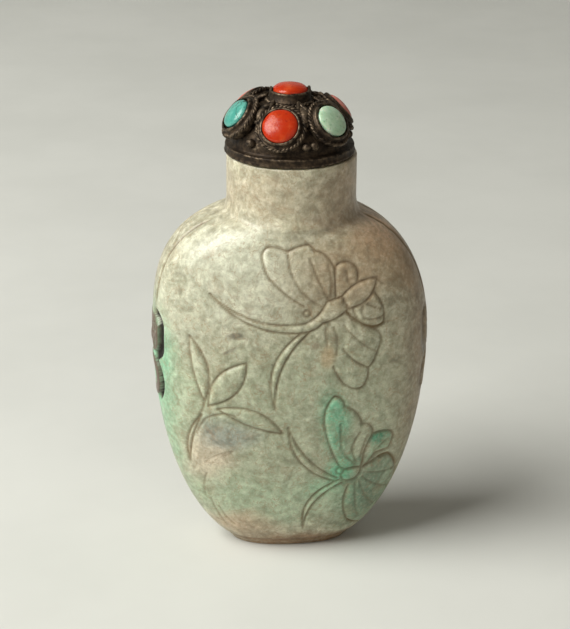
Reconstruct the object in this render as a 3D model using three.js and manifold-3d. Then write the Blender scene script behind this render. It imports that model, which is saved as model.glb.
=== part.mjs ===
// Snuff bottle: a flattened, shouldered bottle cut from one pebble of jadeite, hollowed out through
// its narrow mouth, carved in low relief with two butterflies and a spray of leaves, and closed by
// a cork stopper under a domed silver cap set with coral, turquoise and pale green stones.
// Millimetres, +Z up. The origin is the middle of the foot. The carved front looks along -Y.
import * as THREE from 'three';
import { mergeGeometries, mergeVertices } from 'three/addons/utils/BufferGeometryUtils.js';
import Module from 'manifold-3d';

const wasm = await Module();
wasm.setup();

// ---------- driving dimensions ----------

// Body of the bottle: half sizes at its widest level, and how squarely the plan is rounded (2 is an
// ellipse). Above and below that level both half sizes shrink as (1 - (rise / reach) ^ bend) ^ (1 / fullness).
const HALF_WIDTH = 20.65;
const HALF_THICKNESS = 11.6;
const WIDEST_HEIGHT = 33.5;
const SQUARENESS = 2.3;
const SHOULDER_REACH = 20.9;
const SHOULDER_BEND = { left: 3.25, right: 2.25, face: 3.2 };
const SHOULDER_FULLNESS = { side: 2.8, face: 7 };
const BELLY_REACH = 35.4;
const BELLY_BEND = { side: 1.95, face: 2 };
const BELLY_FULLNESS = { side: 2.5, face: 2.35 };

// Foot, neck, mouth and wall.
const FOOT_LINE_HEIGHT = 1.25;
const FOOT_LINE_DEPTH = 0.25;
const NECK_RADIUS = 9.5;
const NECK_FLARE = 0.55;
const NECK_FLARE_TOP = 55.6;
const NECK_BASE = 53.2;
const RIM_HEIGHT = 62;
const RIM_ROUNDING = 0.5;
const MOUTH_RADIUS = 4.1;
const WALL = 3;
const CAVITY_FLOOR = 4.2;
const CAVITY_TOP = 49.5;

// Carving: width and depth of the cut lines.
const CUT_WIDTH = 0.5;
const CUT_DEPTH = 0.36;
const CUT_STEP = 2.9;

// Mask-and-ring handles on the two narrow sides.
const BAND_HALF_WIDTH = 2.7;
const BAND_BOTTOM = 39.5;
const BAND_TOP = 52.2;
const MASK = { height: 35.4, halfWidth: 3.3, halfHeight: 3.3, relief: 0.3 };
const RING = { height: 27.6, radius: 3.6, wire: 0.85, relief: 0.3 };

// Stopper: cap, bezels and cork, in heights above the rim of the neck.
const CAP_GAP = 0.1;
const CAP_SHIFT = -0.3;
const BAND_RADIUS = 9.5;
const BAND_HEIGHT = 1.4;
const DOME_RADIUS = 8.5;
const DOME_RISE = 6.6;
const SIDE_STONES = 6;
const FIRST_STONE_AZIMUTH = -16;
const STONE_TILT = 40;
const STONE_RADIUS = 2.55;
const STONE_RISE = 1.5;
const BEZEL_RADIUS = 3;
const BEZEL_HEIGHT = 0.75;
const BEZEL_WALL = 0.35;
const ROPE_RADIUS = 3.5;
const TOP_BEZEL_HEIGHT = 1.5;
const TOP_STONE_RADIUS = 2.6;
const BEAD_RADIUS = 0.62;
const SETTING_GAP = 0.1;
const CORK_RADIUS = 3.55;
const CORK_LENGTH = 6.6;

// ---------- carved figures ----------
// Every place is [x, z] on the face of the bottle. A blade is a pointed leaf, feeler or body: its two
// edges run from root to tip and stand off the straight line between them by the two sides. An
// outline is a chain of curves: each place after the first also says how far the middle of the curve
// that reaches it stands off the straight line, to the right of the direction of travel.

const UPPER_BUTTERFLY = {
  blades: [
    { root: [0.7, 38.9], tip: [-12.7, 43.4], sides: [-0.9, -2.1] },
    { root: [0.5, 38.0], tip: [-3.6, 24.7], sides: [0.9, 2.2] },
    { root: [0.3, 38.0], tip: [6.9, 42.4], sides: [-1.4, 0.8] },
    { root: [6.2, 42.1], tip: [12.1, 45.3], sides: [-1.5, 1.25] },
  ],
  outlines: [
    [[0.9, 42.1], [-4.2, 46.4, -0.3], [-5.15, 49.6, -0.2], [-3.6, 50.85, -0.45], [-1.5, 50.2, -0.1],
      [1.5, 51.1, -0.15], [2.4, 50.1, -0.1], [5.35, 47.35, -0.6]],
    [[5.5, 47.4], [9.3, 47.1, -1.1], [6.3, 43.6, -0.1]],
    [[7.2, 41.0], [12.2, 37.4, 0.4], [12.6, 35.2, -0.3], [12.05, 34.3, 0], [10.6, 31.7, -0.45]],
    [[10.8, 31.8], [8.6, 28.65, -0.85], [7.2, 29.6, -0.15], [5.6, 32.3, -0.1]],
    [[11.6, 43.4], [13.3, 40.4, -0.35], [12.8, 39.5, 0], [9.8, 39.8, -0.1]],
  ],
  veins: [
    [[-1.45, 49.7], [3.2, 42.25, 1.2]],
    [[1.7, 49.1], [4.5, 43.0, 0.1]],
    [[5.35, 47.35], [5.8, 43.6, 0]],
    [[6.8, 39.2], [11.2, 34.5, 0.3]],
    [[6.7, 35.3], [10.6, 31.7, 0.4]],
    [[5.35, 39.0], [5.9, 34.1, -0.25]],
  ],
  eye: { at: [1.5, 40.9], radius: 0.45 },
};

const LOWER_BUTTERFLY = {
  blades: [
    { root: [6.4, 13.2], tip: [-1.1, 23.0], sides: [-2.65, -1.75] },
    { root: [6.5, 12.7], tip: [1.7, 4.2], sides: [1.4, 2.3] },
    { root: [6.2, 13.2], tip: [11.6, 14.3], sides: [-0.9, 0.9] },
  ],
  outlines: [
    [[6.6, 15.6], [4.15, 23.3, -0.4], [4.75, 27.0, -0.25], [7.1, 26.65, -0.75], [9.1, 24.6, 0],
      [9.9, 22.6, -0.1], [11.65, 20.6, -0.4]],
    [[10.25, 14.7], [11.8, 20.6, -0.3], [14.9, 20.0, -0.5], [14.7, 16.4, -0.15], [10.7, 14.6, 0]],
    [[8.1, 12.1], [7.8, 6.0, 0.25], [9.95, 3.8, 0.35], [15.9, 11.8, 1.2], [11.4, 13.4, 0.2]],
  ],
  veins: [
    [[7.0, 24.3], [8.3, 16.8, 0.85]],
    [[9.4, 22.2], [8.8, 17.1, 0.2]],
    [[9.3, 12.2], [9.9, 5.8, 0.2]],
    [[10.3, 12.2], [12.6, 7.4, 0.2]],
    [[11.2, 12.6], [14.6, 9.9, 0.2]],
  ],
  eye: { at: [6.9, 14.4], radius: 0.6 },
};

const FRONT_LEAVES = [
  { root: [-13.6, 26.6], tip: [-15.9, 36.6], sides: [-0.43, 1.8] },
  { root: [-12.8, 26.2], tip: [-7.5, 33.2], sides: [-1.78, 1.86] },
  { root: [-11.6, 25.6], tip: [-2.6, 21.9], sides: [-1.3, 0.7] },
  { root: [-13.5, 25.3], tip: [-15.2, 13.6], sides: [0.6, 1.2] },
];

const BACK_LEAVES = [
  { root: [0, 14], tip: [-8, 35], sides: [-2.6, -0.4] },
  { root: [1, 14], tip: [9, 29], sides: [-2.8, -0.8] },
];

// ---------- solids and booleans ----------

const UP = new THREE.Vector3(0, 0, 1);
const radians = THREE.MathUtils.degToRad;

function toManifold(geometry) {
  const bare = geometry.clone();
  for (const name of Object.keys(bare.attributes)) {
    if (name !== 'position') bare.deleteAttribute(name);
  }
  const merged = mergeVertices(bare, 1e-4);
  const mesh = new wasm.Mesh({
    numProp: 3,
    vertProperties: new Float32Array(merged.attributes.position.array),
    triVerts: new Uint32Array(merged.index.array),
  });
  return new wasm.Manifold(mesh);
}

function toGeometry(manifold) {
  const mesh = manifold.getMesh();
  const geometry = new THREE.BufferGeometry();
  geometry.setAttribute('position', new THREE.BufferAttribute(new Float32Array(mesh.vertProperties), 3));
  geometry.setIndex(new THREE.BufferAttribute(new Uint32Array(mesh.triVerts), 1));
  geometry.computeVertexNormals();
  return geometry;
}

// A closed skin over a stack of rings, all with the same number of points, listed from the bottom up
// and each running anticlockwise seen from above (or from the end of the stack), with flat ends.
function stackRings(rings) {
  const count = rings[0].length;
  const positions = rings.flat().flatMap((p) => [p.x, p.y, p.z]);
  const index = [];
  for (let r = 0; r + 1 < rings.length; r += 1) {
    for (let i = 0; i < count; i += 1) {
      const a = r * count + i;
      const b = r * count + ((i + 1) % count);
      index.push(a, b, b + count, a, b + count, a + count);
    }
  }
  const top = (rings.length - 1) * count;
  for (let i = 1; i + 1 < count; i += 1) {
    index.push(0, i + 1, i);
    index.push(top, top + i, top + i + 1);
  }
  const geometry = new THREE.BufferGeometry();
  geometry.setAttribute('position', new THREE.Float32BufferAttribute(positions, 3));
  geometry.setIndex(index);
  return geometry;
}

// ---------- the form of the bottle ----------

const shrink = (ratio, bend, fullness) => Math.max(1 - ratio ** bend, 1e-4) ** (1 / fullness);

function halfWidth(z, x) {
  if (z < WIDEST_HEIGHT) {
    const drop = (WIDEST_HEIGHT - z) / BELLY_REACH;
    return HALF_WIDTH * shrink(drop, BELLY_BEND.side, BELLY_FULLNESS.side);
  }
  const bend = x < 0 ? SHOULDER_BEND.left : SHOULDER_BEND.right;
  return HALF_WIDTH * shrink((z - WIDEST_HEIGHT) / SHOULDER_REACH, bend, SHOULDER_FULLNESS.side);
}

function halfThickness(z) {
  if (z < WIDEST_HEIGHT) {
    const drop = (WIDEST_HEIGHT - z) / BELLY_REACH;
    return HALF_THICKNESS * shrink(drop, BELLY_BEND.face, BELLY_FULLNESS.face);
  }
  const rise = (z - WIDEST_HEIGHT) / SHOULDER_REACH;
  return HALF_THICKNESS * shrink(rise, SHOULDER_BEND.face, SHOULDER_FULLNESS.face);
}

// Distance of the body's surface from the axis at height z, in the direction (cos, sin), less a wall.
function bodyRadius(cos, sin, z, wall = 0) {
  const across = Math.abs(cos) / (halfWidth(z, cos) - wall);
  const through = Math.abs(sin) / (halfThickness(z) - wall);
  return (across ** SQUARENESS + through ** SQUARENESS) ** (-1 / SQUARENESS);
}

// The neck: a near cylinder that flares where it grows out of the shoulders.
function neckRadius(z) {
  if (z < NECK_BASE - 3) return 0;
  const flare = THREE.MathUtils.clamp((NECK_FLARE_TOP - z) / (NECK_FLARE_TOP - NECK_BASE), 0, 1);
  return NECK_RADIUS + NECK_FLARE * flare ** 2;
}

// Directions of the points round a ring, closer together on the narrow sides, where it bends most.
function ringDirections(count) {
  const directions = [];
  for (let i = 0; i < count; i += 1) {
    const turn = (2 * Math.PI * (i + 0.5)) / count;
    const angle = Math.atan2(HALF_THICKNESS * Math.sin(turn), HALF_WIDTH * Math.cos(turn));
    directions.push({ cos: Math.cos(angle), sin: Math.sin(angle) });
  }
  return directions;
}

function ringAt(z, directions, radius) {
  return directions.map(({ cos, sin }) => {
    const reach = radius(cos, sin);
    return new THREE.Vector3(reach * cos, reach * sin, z);
  });
}

function outerForm() {
  const directions = ringDirections(32);
  const rings = [0, FOOT_LINE_HEIGHT - 0.35].map((z) => ringAt(z, directions, (c, s) => bodyRadius(c, s, z)));
  rings.push(ringAt(FOOT_LINE_HEIGHT, directions,
    (c, s) => bodyRadius(c, s, FOOT_LINE_HEIGHT) - FOOT_LINE_DEPTH));
  const levels = [1.7, 4, 7.5, 12.5, 19, 26, 33.5, 39.5, 44.5, 48, 50.5, 52.2, 53.2];
  for (const z of levels) {
    rings.push(ringAt(z, directions, (c, s) => Math.max(bodyRadius(c, s, z), neckRadius(z))));
  }
  for (const z of [54.2, NECK_FLARE_TOP, RIM_HEIGHT - RIM_ROUNDING]) {
    rings.push(ringAt(z, directions, () => neckRadius(z)));
  }
  rings.push(ringAt(RIM_HEIGHT, directions, () => NECK_RADIUS - RIM_ROUNDING));
  return toManifold(stackRings(rings));
}

// The hollow follows the outside at the thickness of the wall and leaves by the narrow mouth.
function hollow() {
  const directions = ringDirections(18);
  const levels = [CAVITY_FLOOR, 7, 13, 22, 33, 42, 47, CAVITY_TOP];
  const cavity = stackRings(levels.map((z) => ringAt(z, directions, (c, s) => bodyRadius(c, s, z, WALL))));
  const bore = new THREE.CylinderGeometry(MOUTH_RADIUS, MOUTH_RADIUS, RIM_HEIGHT - CAVITY_TOP + 6, 18);
  bore.rotateX(Math.PI / 2);
  bore.translate(0, 0, (RIM_HEIGHT + CAVITY_TOP) / 2);
  return toManifold(cavity).add(toManifold(bore));
}

// ---------- cut lines ----------

// Points of the body's surface: on the front or back face from x and z, on a narrow side from y and z.
function onFace(x, z, facing) {
  const y = halfThickness(z) * (1 - (Math.abs(x) / halfWidth(z, x)) ** SQUARENESS) ** (1 / SQUARENESS);
  return new THREE.Vector3(x, facing * y, z);
}

function onSide(y, z, facing) {
  const x = halfWidth(z, facing) * (1 - (Math.abs(y) / halfThickness(z)) ** SQUARENESS) ** (1 / SQUARENESS);
  return new THREE.Vector3(facing * x, y, z);
}

function outward(point) {
  const level = (x, y, z) =>
    (Math.abs(x) / halfWidth(z, x)) ** SQUARENESS + (Math.abs(y) / halfThickness(z)) ** SQUARENESS;
  const { x, y, z } = point;
  const h = 0.01;
  return new THREE.Vector3(
    level(x + h, y, z) - level(x - h, y, z),
    level(x, y + h, z) - level(x, y - h, z),
    level(x, y, z + h) - level(x, y, z - h),
  ).normalize();
}

// A three-sided graver's cut along a line of surface points, shallower at both ends.
function cutAlong(points, width = CUT_WIDTH, depth = CUT_DEPTH) {
  const lift = 0.25;
  const rings = points.map((point, i) => {
    const ahead = points[Math.min(i + 1, points.length - 1)];
    const behind = points[Math.max(i - 1, 0)];
    const along = ahead.clone().sub(behind).normalize();
    const normal = outward(point);
    const side = new THREE.Vector3().crossVectors(along, normal).normalize();
    const share = i === 0 || i === points.length - 1 ? 0.45 : 1;
    const deep = depth * share;
    const half = ((width * share) / 2) * ((deep + lift) / deep);
    return [
      point.clone().addScaledVector(normal, lift).addScaledVector(side, half),
      point.clone().addScaledVector(normal, lift).addScaledVector(side, -half),
      point.clone().addScaledVector(normal, -deep),
    ];
  });
  const cut = toManifold(stackRings(rings));
  return cut.volume() > 0 ? cut : toManifold(stackRings(rings.map((ring) => [...ring].reverse())));
}

// A curve in the plane of the face whose middle stands off its chord to the right by sag.
function bow(from, to, sag) {
  const [dx, dz] = [to[0] - from[0], to[1] - from[1]];
  const length = Math.hypot(dx, dz);
  const control = [(from[0] + to[0]) / 2 + (2 * sag * dz) / length, (from[1] + to[1]) / 2 - (2 * sag * dx) / length];
  const curve = new THREE.QuadraticBezierCurve(
    new THREE.Vector2(...from), new THREE.Vector2(...control), new THREE.Vector2(...to));
  return curve.getSpacedPoints(Math.max(2, Math.round(length / CUT_STEP)));
}

function cutOutline(chain, facing) {
  const points = [];
  for (let i = 1; i < chain.length; i += 1) {
    const [x, z, sag] = chain[i];
    const stretch = bow(chain[i - 1].slice(0, 2), [x, z], sag);
    points.push(...(i === 1 ? stretch : stretch.slice(1)));
  }
  return cutAlong(points.map((p) => onFace(p.x, p.y, facing)));
}

const cutBlade = ({ root, tip, sides }, facing) =>
  sides.map((side) => cutOutline([root, [...tip, side]], facing));

function eyeBead({ at, radius }) {
  const bead = new THREE.OctahedronGeometry(radius, 1);
  const centre = onFace(at[0], at[1], -1);
  bead.translate(centre.x, centre.y, centre.z);
  return toManifold(bead);
}

function frontCuts() {
  const figures = [UPPER_BUTTERFLY, LOWER_BUTTERFLY];
  const cuts = figures.flatMap((figure) => [
    ...figure.blades.flatMap((blade) => cutBlade(blade, -1)),
    ...figure.outlines.map((outline) => cutOutline(outline, -1)),
    ...figure.veins.map((vein) => cutOutline(vein, -1)),
  ]);
  cuts.push(...FRONT_LEAVES.flatMap((leaf) => cutBlade(leaf, -1)));
  return cuts;
}

const backCuts = () => BACK_LEAVES.flatMap((leaf) => cutBlade(leaf, 1));

// ---------- handles on the narrow sides ----------

// Bends a geometry modelled on a flat plate onto a narrow side: its x is the height off the surface.
function wrapOnSide(geometry, facing) {
  const position = geometry.attributes.position;
  for (let i = 0; i < position.count; i += 1) {
    const at = onSide(facing * position.getY(i), position.getZ(i), facing);
    at.addScaledVector(outward(at), position.getX(i));
    position.setXYZ(i, at.x, at.y, at.z);
  }
  return toManifold(geometry);
}

// A lump: an ellipsoid sunk into the side, its crest standing proud by the relief.
function sideLump(facing, y, z, halfY, halfZ, relief) {
  const sink = 0.9;
  const lump = halfY > 2 ? new THREE.SphereGeometry(1, 10, 6) : new THREE.SphereGeometry(1, 6, 4);
  lump.scale(sink + relief, halfY, halfZ);
  lump.translate(-sink, y, z);
  return wrapOnSide(lump, facing);
}

function sideRing(facing) {
  const ring = new THREE.TorusGeometry(RING.radius, RING.wire, 5, 14);
  ring.rotateY(Math.PI / 2);
  ring.translate(RING.relief - RING.wire, 0, RING.height);
  return wrapOnSide(ring, facing);
}

// The hollow beaten round mask and ring, so that both stand clear of the wall.
function sideRecess(facing) {
  const rim = (height, halfY, halfZ, depth) => {
    const points = [];
    for (let i = 0; i <= 10; i += 1) {
      const turn = (2 * Math.PI * i) / 10;
      points.push(onSide(halfY * Math.sin(turn), height + halfZ * Math.cos(turn), facing));
    }
    return cutAlong(points, 1.1, depth);
  };
  const outer = RING.radius + RING.wire;
  return rim(RING.height, outer, outer, 0.6).add(rim(MASK.height, MASK.halfWidth, MASK.halfHeight, 0.7));
}

function handle(facing) {
  const { height, halfWidth: halfY, halfHeight: halfZ, relief } = MASK;
  const lumps = [sideLump(facing, 0, height, halfY, halfZ, relief), sideRing(facing)];
  for (const hand of [-1, 1]) {
    lumps.push(sideLump(facing, hand * 1.25, height + 0.9, 0.7, 0.6, 0.5));
    lumps.push(sideLump(facing, hand * 2.5, height + 2.5, 0.9, 1.1, 0.35));
  }
  lumps.push(sideLump(facing, 0, height - 1.1, 0.9, 0.8, 0.5));
  return lumps.reduce((sum, lump) => sum.add(lump));
}

function bandCuts(facing) {
  return [-1, 1].map((hand) => {
    const points = [];
    for (let i = 0; i <= 5; i += 1) {
      const z = BAND_BOTTOM + (BAND_TOP - BAND_BOTTOM) * Math.sin((Math.PI / 2) * (i / 5));
      points.push(onSide(hand * BAND_HALF_WIDTH, z, facing));
    }
    return cutAlong(points, 0.6, 0.4);
  });
}

function bottle() {
  let solid = outerForm();
  for (const facing of [-1, 1]) {
    solid = solid.subtract(sideRecess(facing)).add(handle(facing));
  }
  for (const { eye } of [UPPER_BUTTERFLY, LOWER_BUTTERFLY]) solid = solid.add(eyeBead(eye));
  const cuts = [...frontCuts(), ...backCuts(), ...bandCuts(-1), ...bandCuts(1)];
  const carved = solid.subtract(cuts.reduce((sum, cut) => sum.add(cut)));
  return toGeometry(carved.subtract(hollow()));
}

// ---------- stopper ----------

const lathe = (profile, segments) => {
  const geometry = new THREE.LatheGeometry(profile.map(([r, z]) => new THREE.Vector2(r, z)), segments);
  return geometry.rotateX(Math.PI / 2);
};

// Local frame of a setting: its middle on the dome's surface and the direction its stone looks.
function settingFrame(index) {
  const turn = radians(FIRST_STONE_AZIMUTH + (360 / SIDE_STONES) * index);
  const around = new THREE.Vector3(Math.sin(turn), -Math.cos(turn), 0);
  const tilt = radians(STONE_TILT);
  const lift = Math.atan((Math.tan(tilt) * DOME_RISE) / DOME_RADIUS);
  const place = around.clone().multiplyScalar(DOME_RADIUS * Math.cos(lift));
  place.z = BAND_HEIGHT + DOME_RISE * Math.sin(lift);
  const normal = around.multiplyScalar(Math.cos(tilt)).addScaledVector(UP, Math.sin(tilt));
  return new THREE.Matrix4().compose(place,
    new THREE.Quaternion().setFromUnitVectors(UP, normal), new THREE.Vector3(1, 1, 1));
}

const topFrame = () => new THREE.Matrix4().makeTranslation(0, 0, BAND_HEIGHT + DOME_RISE);

// A cup for a stone, with the soldered ring of twisted wire round its root.
function bezel(height) {
  return lathe([
    [0, -1.3], [ROPE_RADIUS, -1.3], [ROPE_RADIUS, -0.2], [BEZEL_RADIUS, 0], [BEZEL_RADIUS, height],
    [BEZEL_RADIUS - BEZEL_WALL, height], [BEZEL_RADIUS - BEZEL_WALL, height - 0.6], [0, height - 0.6],
  ], 12);
}

// Beads in the lower gaps between the settings, and a wire leaf in each upper gap.
function gapOrnaments(index) {
  const pieces = [];
  const place = (geometry, azimuth, lift, proud) => {
    const turn = radians(azimuth);
    const reach = DOME_RADIUS * Math.cos(lift) + proud * Math.cos(lift);
    const height = BAND_HEIGHT + DOME_RISE * Math.sin(lift) + proud * Math.sin(lift);
    geometry.rotateZ(turn);
    geometry.translate(reach * Math.sin(turn), -reach * Math.cos(turn), height);
    pieces.push(geometry);
  };
  const middle = FIRST_STONE_AZIMUTH + (360 / SIDE_STONES) * (index + 0.5);
  const offsets = index % 2 ? [0] : [-4.6, 4.6];
  const beadLift = radians(8);
  for (const offset of offsets) {
    place(new THREE.IcosahedronGeometry(BEAD_RADIUS, 0), middle + offset, beadLift, 0.3);
  }
  const leaf = new THREE.SphereGeometry(1, 6, 4);
  leaf.scale(0.75, 0.55, 1.7);
  leaf.rotateX(radians(38));
  place(leaf, middle, radians(52), 0.15);
  return pieces;
}

function cap() {
  const profile = [[0, 0.4], [MOUTH_RADIUS, 0.4], [MOUTH_RADIUS, 0], [BAND_RADIUS - 0.2, 0], [BAND_RADIUS, 0.35],
    [BAND_RADIUS - 0.1, BAND_HEIGHT - 0.2], [DOME_RADIUS + 0.1, BAND_HEIGHT]];
  for (let i = 1; i <= 5; i += 1) {
    const lift = (Math.PI / 2) * (i / 5);
    profile.push([i < 5 ? DOME_RADIUS * Math.cos(lift) : 0, BAND_HEIGHT + DOME_RISE * Math.sin(lift)]);
  }
  const pieces = [lathe(profile, 26)];
  for (let i = 0; i < SIDE_STONES; i += 1) {
    pieces.push(bezel(BEZEL_HEIGHT).applyMatrix4(settingFrame(i)));
    pieces.push(...gapOrnaments(i));
  }
  pieces.push(bezel(TOP_BEZEL_HEIGHT).applyMatrix4(topFrame()));
  return toGeometry(pieces.map(toManifold).reduce((sum, piece) => sum.add(piece)));
}

// A cabochon: flat underneath, a short upright girdle and a domed top.
function cabochon(radius, seat, rise) {
  const floor = seat + SETTING_GAP;
  const girdle = floor + 0.6;
  const profile = [[0, floor], [radius, floor]];
  for (let i = 0; i <= 3; i += 1) {
    const lift = (Math.PI / 2) * (i / 3);
    profile.push([i < 3 ? radius * Math.cos(lift) : 0, girdle + (rise - girdle) * Math.sin(lift)]);
  }
  return lathe(profile, 12);
}

function cork() {
  const top = 0.4 - SETTING_GAP;
  return lathe([[0, top - CORK_LENGTH], [CORK_RADIUS - 0.35, top - CORK_LENGTH],
    [CORK_RADIUS, top - CORK_LENGTH + 0.6], [CORK_RADIUS, top], [0, top]], 20);
}

// ---------- the object ----------

const object = new THREE.Group();
const stopper = new THREE.Group();
stopper.position.set(CAP_SHIFT, 0, RIM_HEIGHT + CAP_GAP);
object.add(stopper);

function addPiece(parent, name, geometry, color, roughness, metalness = 0) {
  const mesh = new THREE.Mesh(geometry, new THREE.MeshStandardMaterial({ color, roughness, metalness }));
  mesh.name = name;
  parent.add(mesh);
}

addPiece(object, 'bottle', bottle(), 0xb9bea0, 0.28);
addPiece(stopper, 'stopper_cap', cap(), 0x4a443c, 0.42, 1);
addPiece(stopper, 'stopper_cork', cork(), 0xa9825a, 0.9);

const CORAL = [0xd8452a, 0.3];
const TURQUOISE = [0x35b3b5, 0.4];
const GREEN_STONE = [0x9fc9a6, 0.35];
const SIDE_SETTINGS = [
  ['stone_front_coral', CORAL],
  ['stone_right_green', GREEN_STONE],
  ['stone_back_right_coral', CORAL],
  ['stone_back_turquoise', TURQUOISE],
  ['stone_back_left_coral', CORAL],
  ['stone_left_turquoise', TURQUOISE],
];
SIDE_SETTINGS.forEach(([name, [color, roughness]], i) => {
  const stone = cabochon(STONE_RADIUS, BEZEL_HEIGHT - 0.6, STONE_RISE);
  addPiece(stopper, name, stone.applyMatrix4(settingFrame(i)), color, roughness);
});
const topStone = cabochon(TOP_STONE_RADIUS - 0.05, TOP_BEZEL_HEIGHT - 0.6, TOP_BEZEL_HEIGHT + 1);
addPiece(stopper, 'stone_top_coral', topStone.applyMatrix4(topFrame()), ...CORAL);

export default object;
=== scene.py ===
"""Carved jadeite snuff bottle with a cork stopper under a silver cap set with cabochons."""

import bpy
import numpy as np
from mathutils import Matrix, Vector


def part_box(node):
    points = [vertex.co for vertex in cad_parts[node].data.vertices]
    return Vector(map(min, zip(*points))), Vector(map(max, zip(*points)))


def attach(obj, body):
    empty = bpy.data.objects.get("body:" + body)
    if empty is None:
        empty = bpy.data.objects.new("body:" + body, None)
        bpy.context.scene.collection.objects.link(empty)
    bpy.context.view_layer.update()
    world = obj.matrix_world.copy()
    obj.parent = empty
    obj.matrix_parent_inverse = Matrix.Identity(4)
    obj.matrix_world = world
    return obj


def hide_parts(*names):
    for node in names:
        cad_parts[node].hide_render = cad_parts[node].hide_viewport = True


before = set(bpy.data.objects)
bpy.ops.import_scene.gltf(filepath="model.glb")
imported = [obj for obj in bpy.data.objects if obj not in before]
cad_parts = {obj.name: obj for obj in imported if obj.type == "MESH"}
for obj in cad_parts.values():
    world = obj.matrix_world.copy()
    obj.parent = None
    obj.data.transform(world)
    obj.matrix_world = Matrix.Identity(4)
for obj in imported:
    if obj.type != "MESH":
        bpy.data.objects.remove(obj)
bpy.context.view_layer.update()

# ---------------------------------------------------------------------------------------------------
# The bottle: one pebble of jadeite, sawn, ground to a flattened shouldered form and hollowed out
# through its mouth with a bow drill. Its plan is a rounded oval that shrinks towards foot and neck,
# and the neck is left as a round collar.
# ---------------------------------------------------------------------------------------------------
MM = 0.001
RIM_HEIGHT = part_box("bottle")[1][2] / MM

# Half sizes at the widest level in millimetres, and how squarely the plan is rounded (2: an ellipse).
HALF_WIDTH = 20.65
HALF_THICKNESS = 11.6
WIDEST_HEIGHT = 33.5
SQUARENESS = 2.3
# How far above and below that level the form would close, and how its sides bend on the way.
SHOULDER_REACH = 20.9
SHOULDER_BEND = {"left": 3.25, "right": 2.25, "face": 3.2}
SHOULDER_FULLNESS = {"side": 2.8, "face": 7.0}
BELLY_REACH = 35.4
BELLY_BEND = {"side": 1.95, "face": 2.0}
BELLY_FULLNESS = {"side": 2.5, "face": 2.35}
# Neck, foot, mouth and hollow.
NECK_RADIUS = 9.5
NECK_FLARE = 0.55
NECK_FLARE_TOP = 55.6
NECK_BASE = 53.2
NECK_ROOT_DEPTH = 3
FOOT_ROUNDING = 0.45
FOOT_LINE_HEIGHT = 1.25
FOOT_LINE_DEPTH = 0.12
RIM_ROUNDING = 0.3
LIP_DEPTH = 1.5
MOUTH_RADIUS = 4.1
WALL = 3.0
CAVITY_FLOOR = 4.2
CAVITY_TOP = 49.5
CREASE_SOFTNESS = 0.35
# Points round a ring and rings up the wall, and how closely the points lie on each part of a ring. The
# faces start, and the left handle's edges lie, at these distances from the plane through both handles.
COLUMNS = 312
ROW_COUNT = 276
FINENESS = {"front": 1.0, "sides": 0.55, "back": 0.42, "left handle's edges": 1.35}
FACE_STARTS = 6
HANDLE_EDGE = 4.4
HANDLE_EDGE_REACH = 1.6
FINENESS_BLUR = 60
NECK_ROW_DENSITY = 0.35


def shrink(ratio, bend, fullness):
    """One less the ratio to the power of the bend, all to the power of one over the fullness."""
    return np.clip(1 - ratio ** bend, 1e-4, None) ** (1 / fullness)


def half_width(z, x):
    """Half the width at height z: the shoulder falls off faster on the right, where x is positive."""
    drop = np.clip(WIDEST_HEIGHT - z, 0, None) / BELLY_REACH
    rise = np.clip(z - WIDEST_HEIGHT, 0, None) / SHOULDER_REACH
    below = shrink(drop, BELLY_BEND["side"], BELLY_FULLNESS["side"])
    bend = np.where(x < 0, SHOULDER_BEND["left"], SHOULDER_BEND["right"])
    above = shrink(rise, bend, SHOULDER_FULLNESS["side"])
    return HALF_WIDTH * np.where(z < WIDEST_HEIGHT, below, above)


def half_thickness(z):
    """Half the thickness at height z, front to back."""
    drop = np.clip(WIDEST_HEIGHT - z, 0, None) / BELLY_REACH
    rise = np.clip(z - WIDEST_HEIGHT, 0, None) / SHOULDER_REACH
    below = shrink(drop, BELLY_BEND["face"], BELLY_FULLNESS["face"])
    above = shrink(rise, SHOULDER_BEND["face"], SHOULDER_FULLNESS["face"])
    return HALF_THICKNESS * np.where(z < WIDEST_HEIGHT, below, above)


def body_radius(cos, sin, z, wall=0.0):
    """Distance from the axis to the rounded oval at height z in the direction (cos, sin), less a wall."""
    across = np.abs(cos) / (half_width(z, cos) - wall)
    through = np.abs(sin) / (half_thickness(z) - wall)
    return (across ** SQUARENESS + through ** SQUARENESS) ** (-1 / SQUARENESS)


def outer_radius(cos, sin, z):
    """The greater of body and neck, blended over a short distance where the two cross."""
    flare = np.clip((NECK_FLARE_TOP - z) / (NECK_FLARE_TOP - NECK_BASE), 0, 1)
    neck = NECK_RADIUS + NECK_FLARE * flare ** 2
    body = np.where(z < SHOULDER_REACH + WIDEST_HEIGHT, body_radius(cos, sin, z), 0)
    neck = np.where(z > NECK_BASE - NECK_ROOT_DEPTH, neck, 0)
    gap = np.clip(1 - np.abs(body - neck) / CREASE_SOFTNESS, 0, 1)
    return np.maximum(body, neck) + 0.25 * CREASE_SOFTNESS * gap ** 2


def spread_evenly(values, density, count):
    """Picks count values so that each step covers the same share of the summed density."""
    total = np.concatenate([[0], np.cumsum(0.5 * (density[1:] + density[:-1]) * np.diff(values))])
    return np.interp(np.linspace(0, total[-1], count), total, values)


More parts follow.
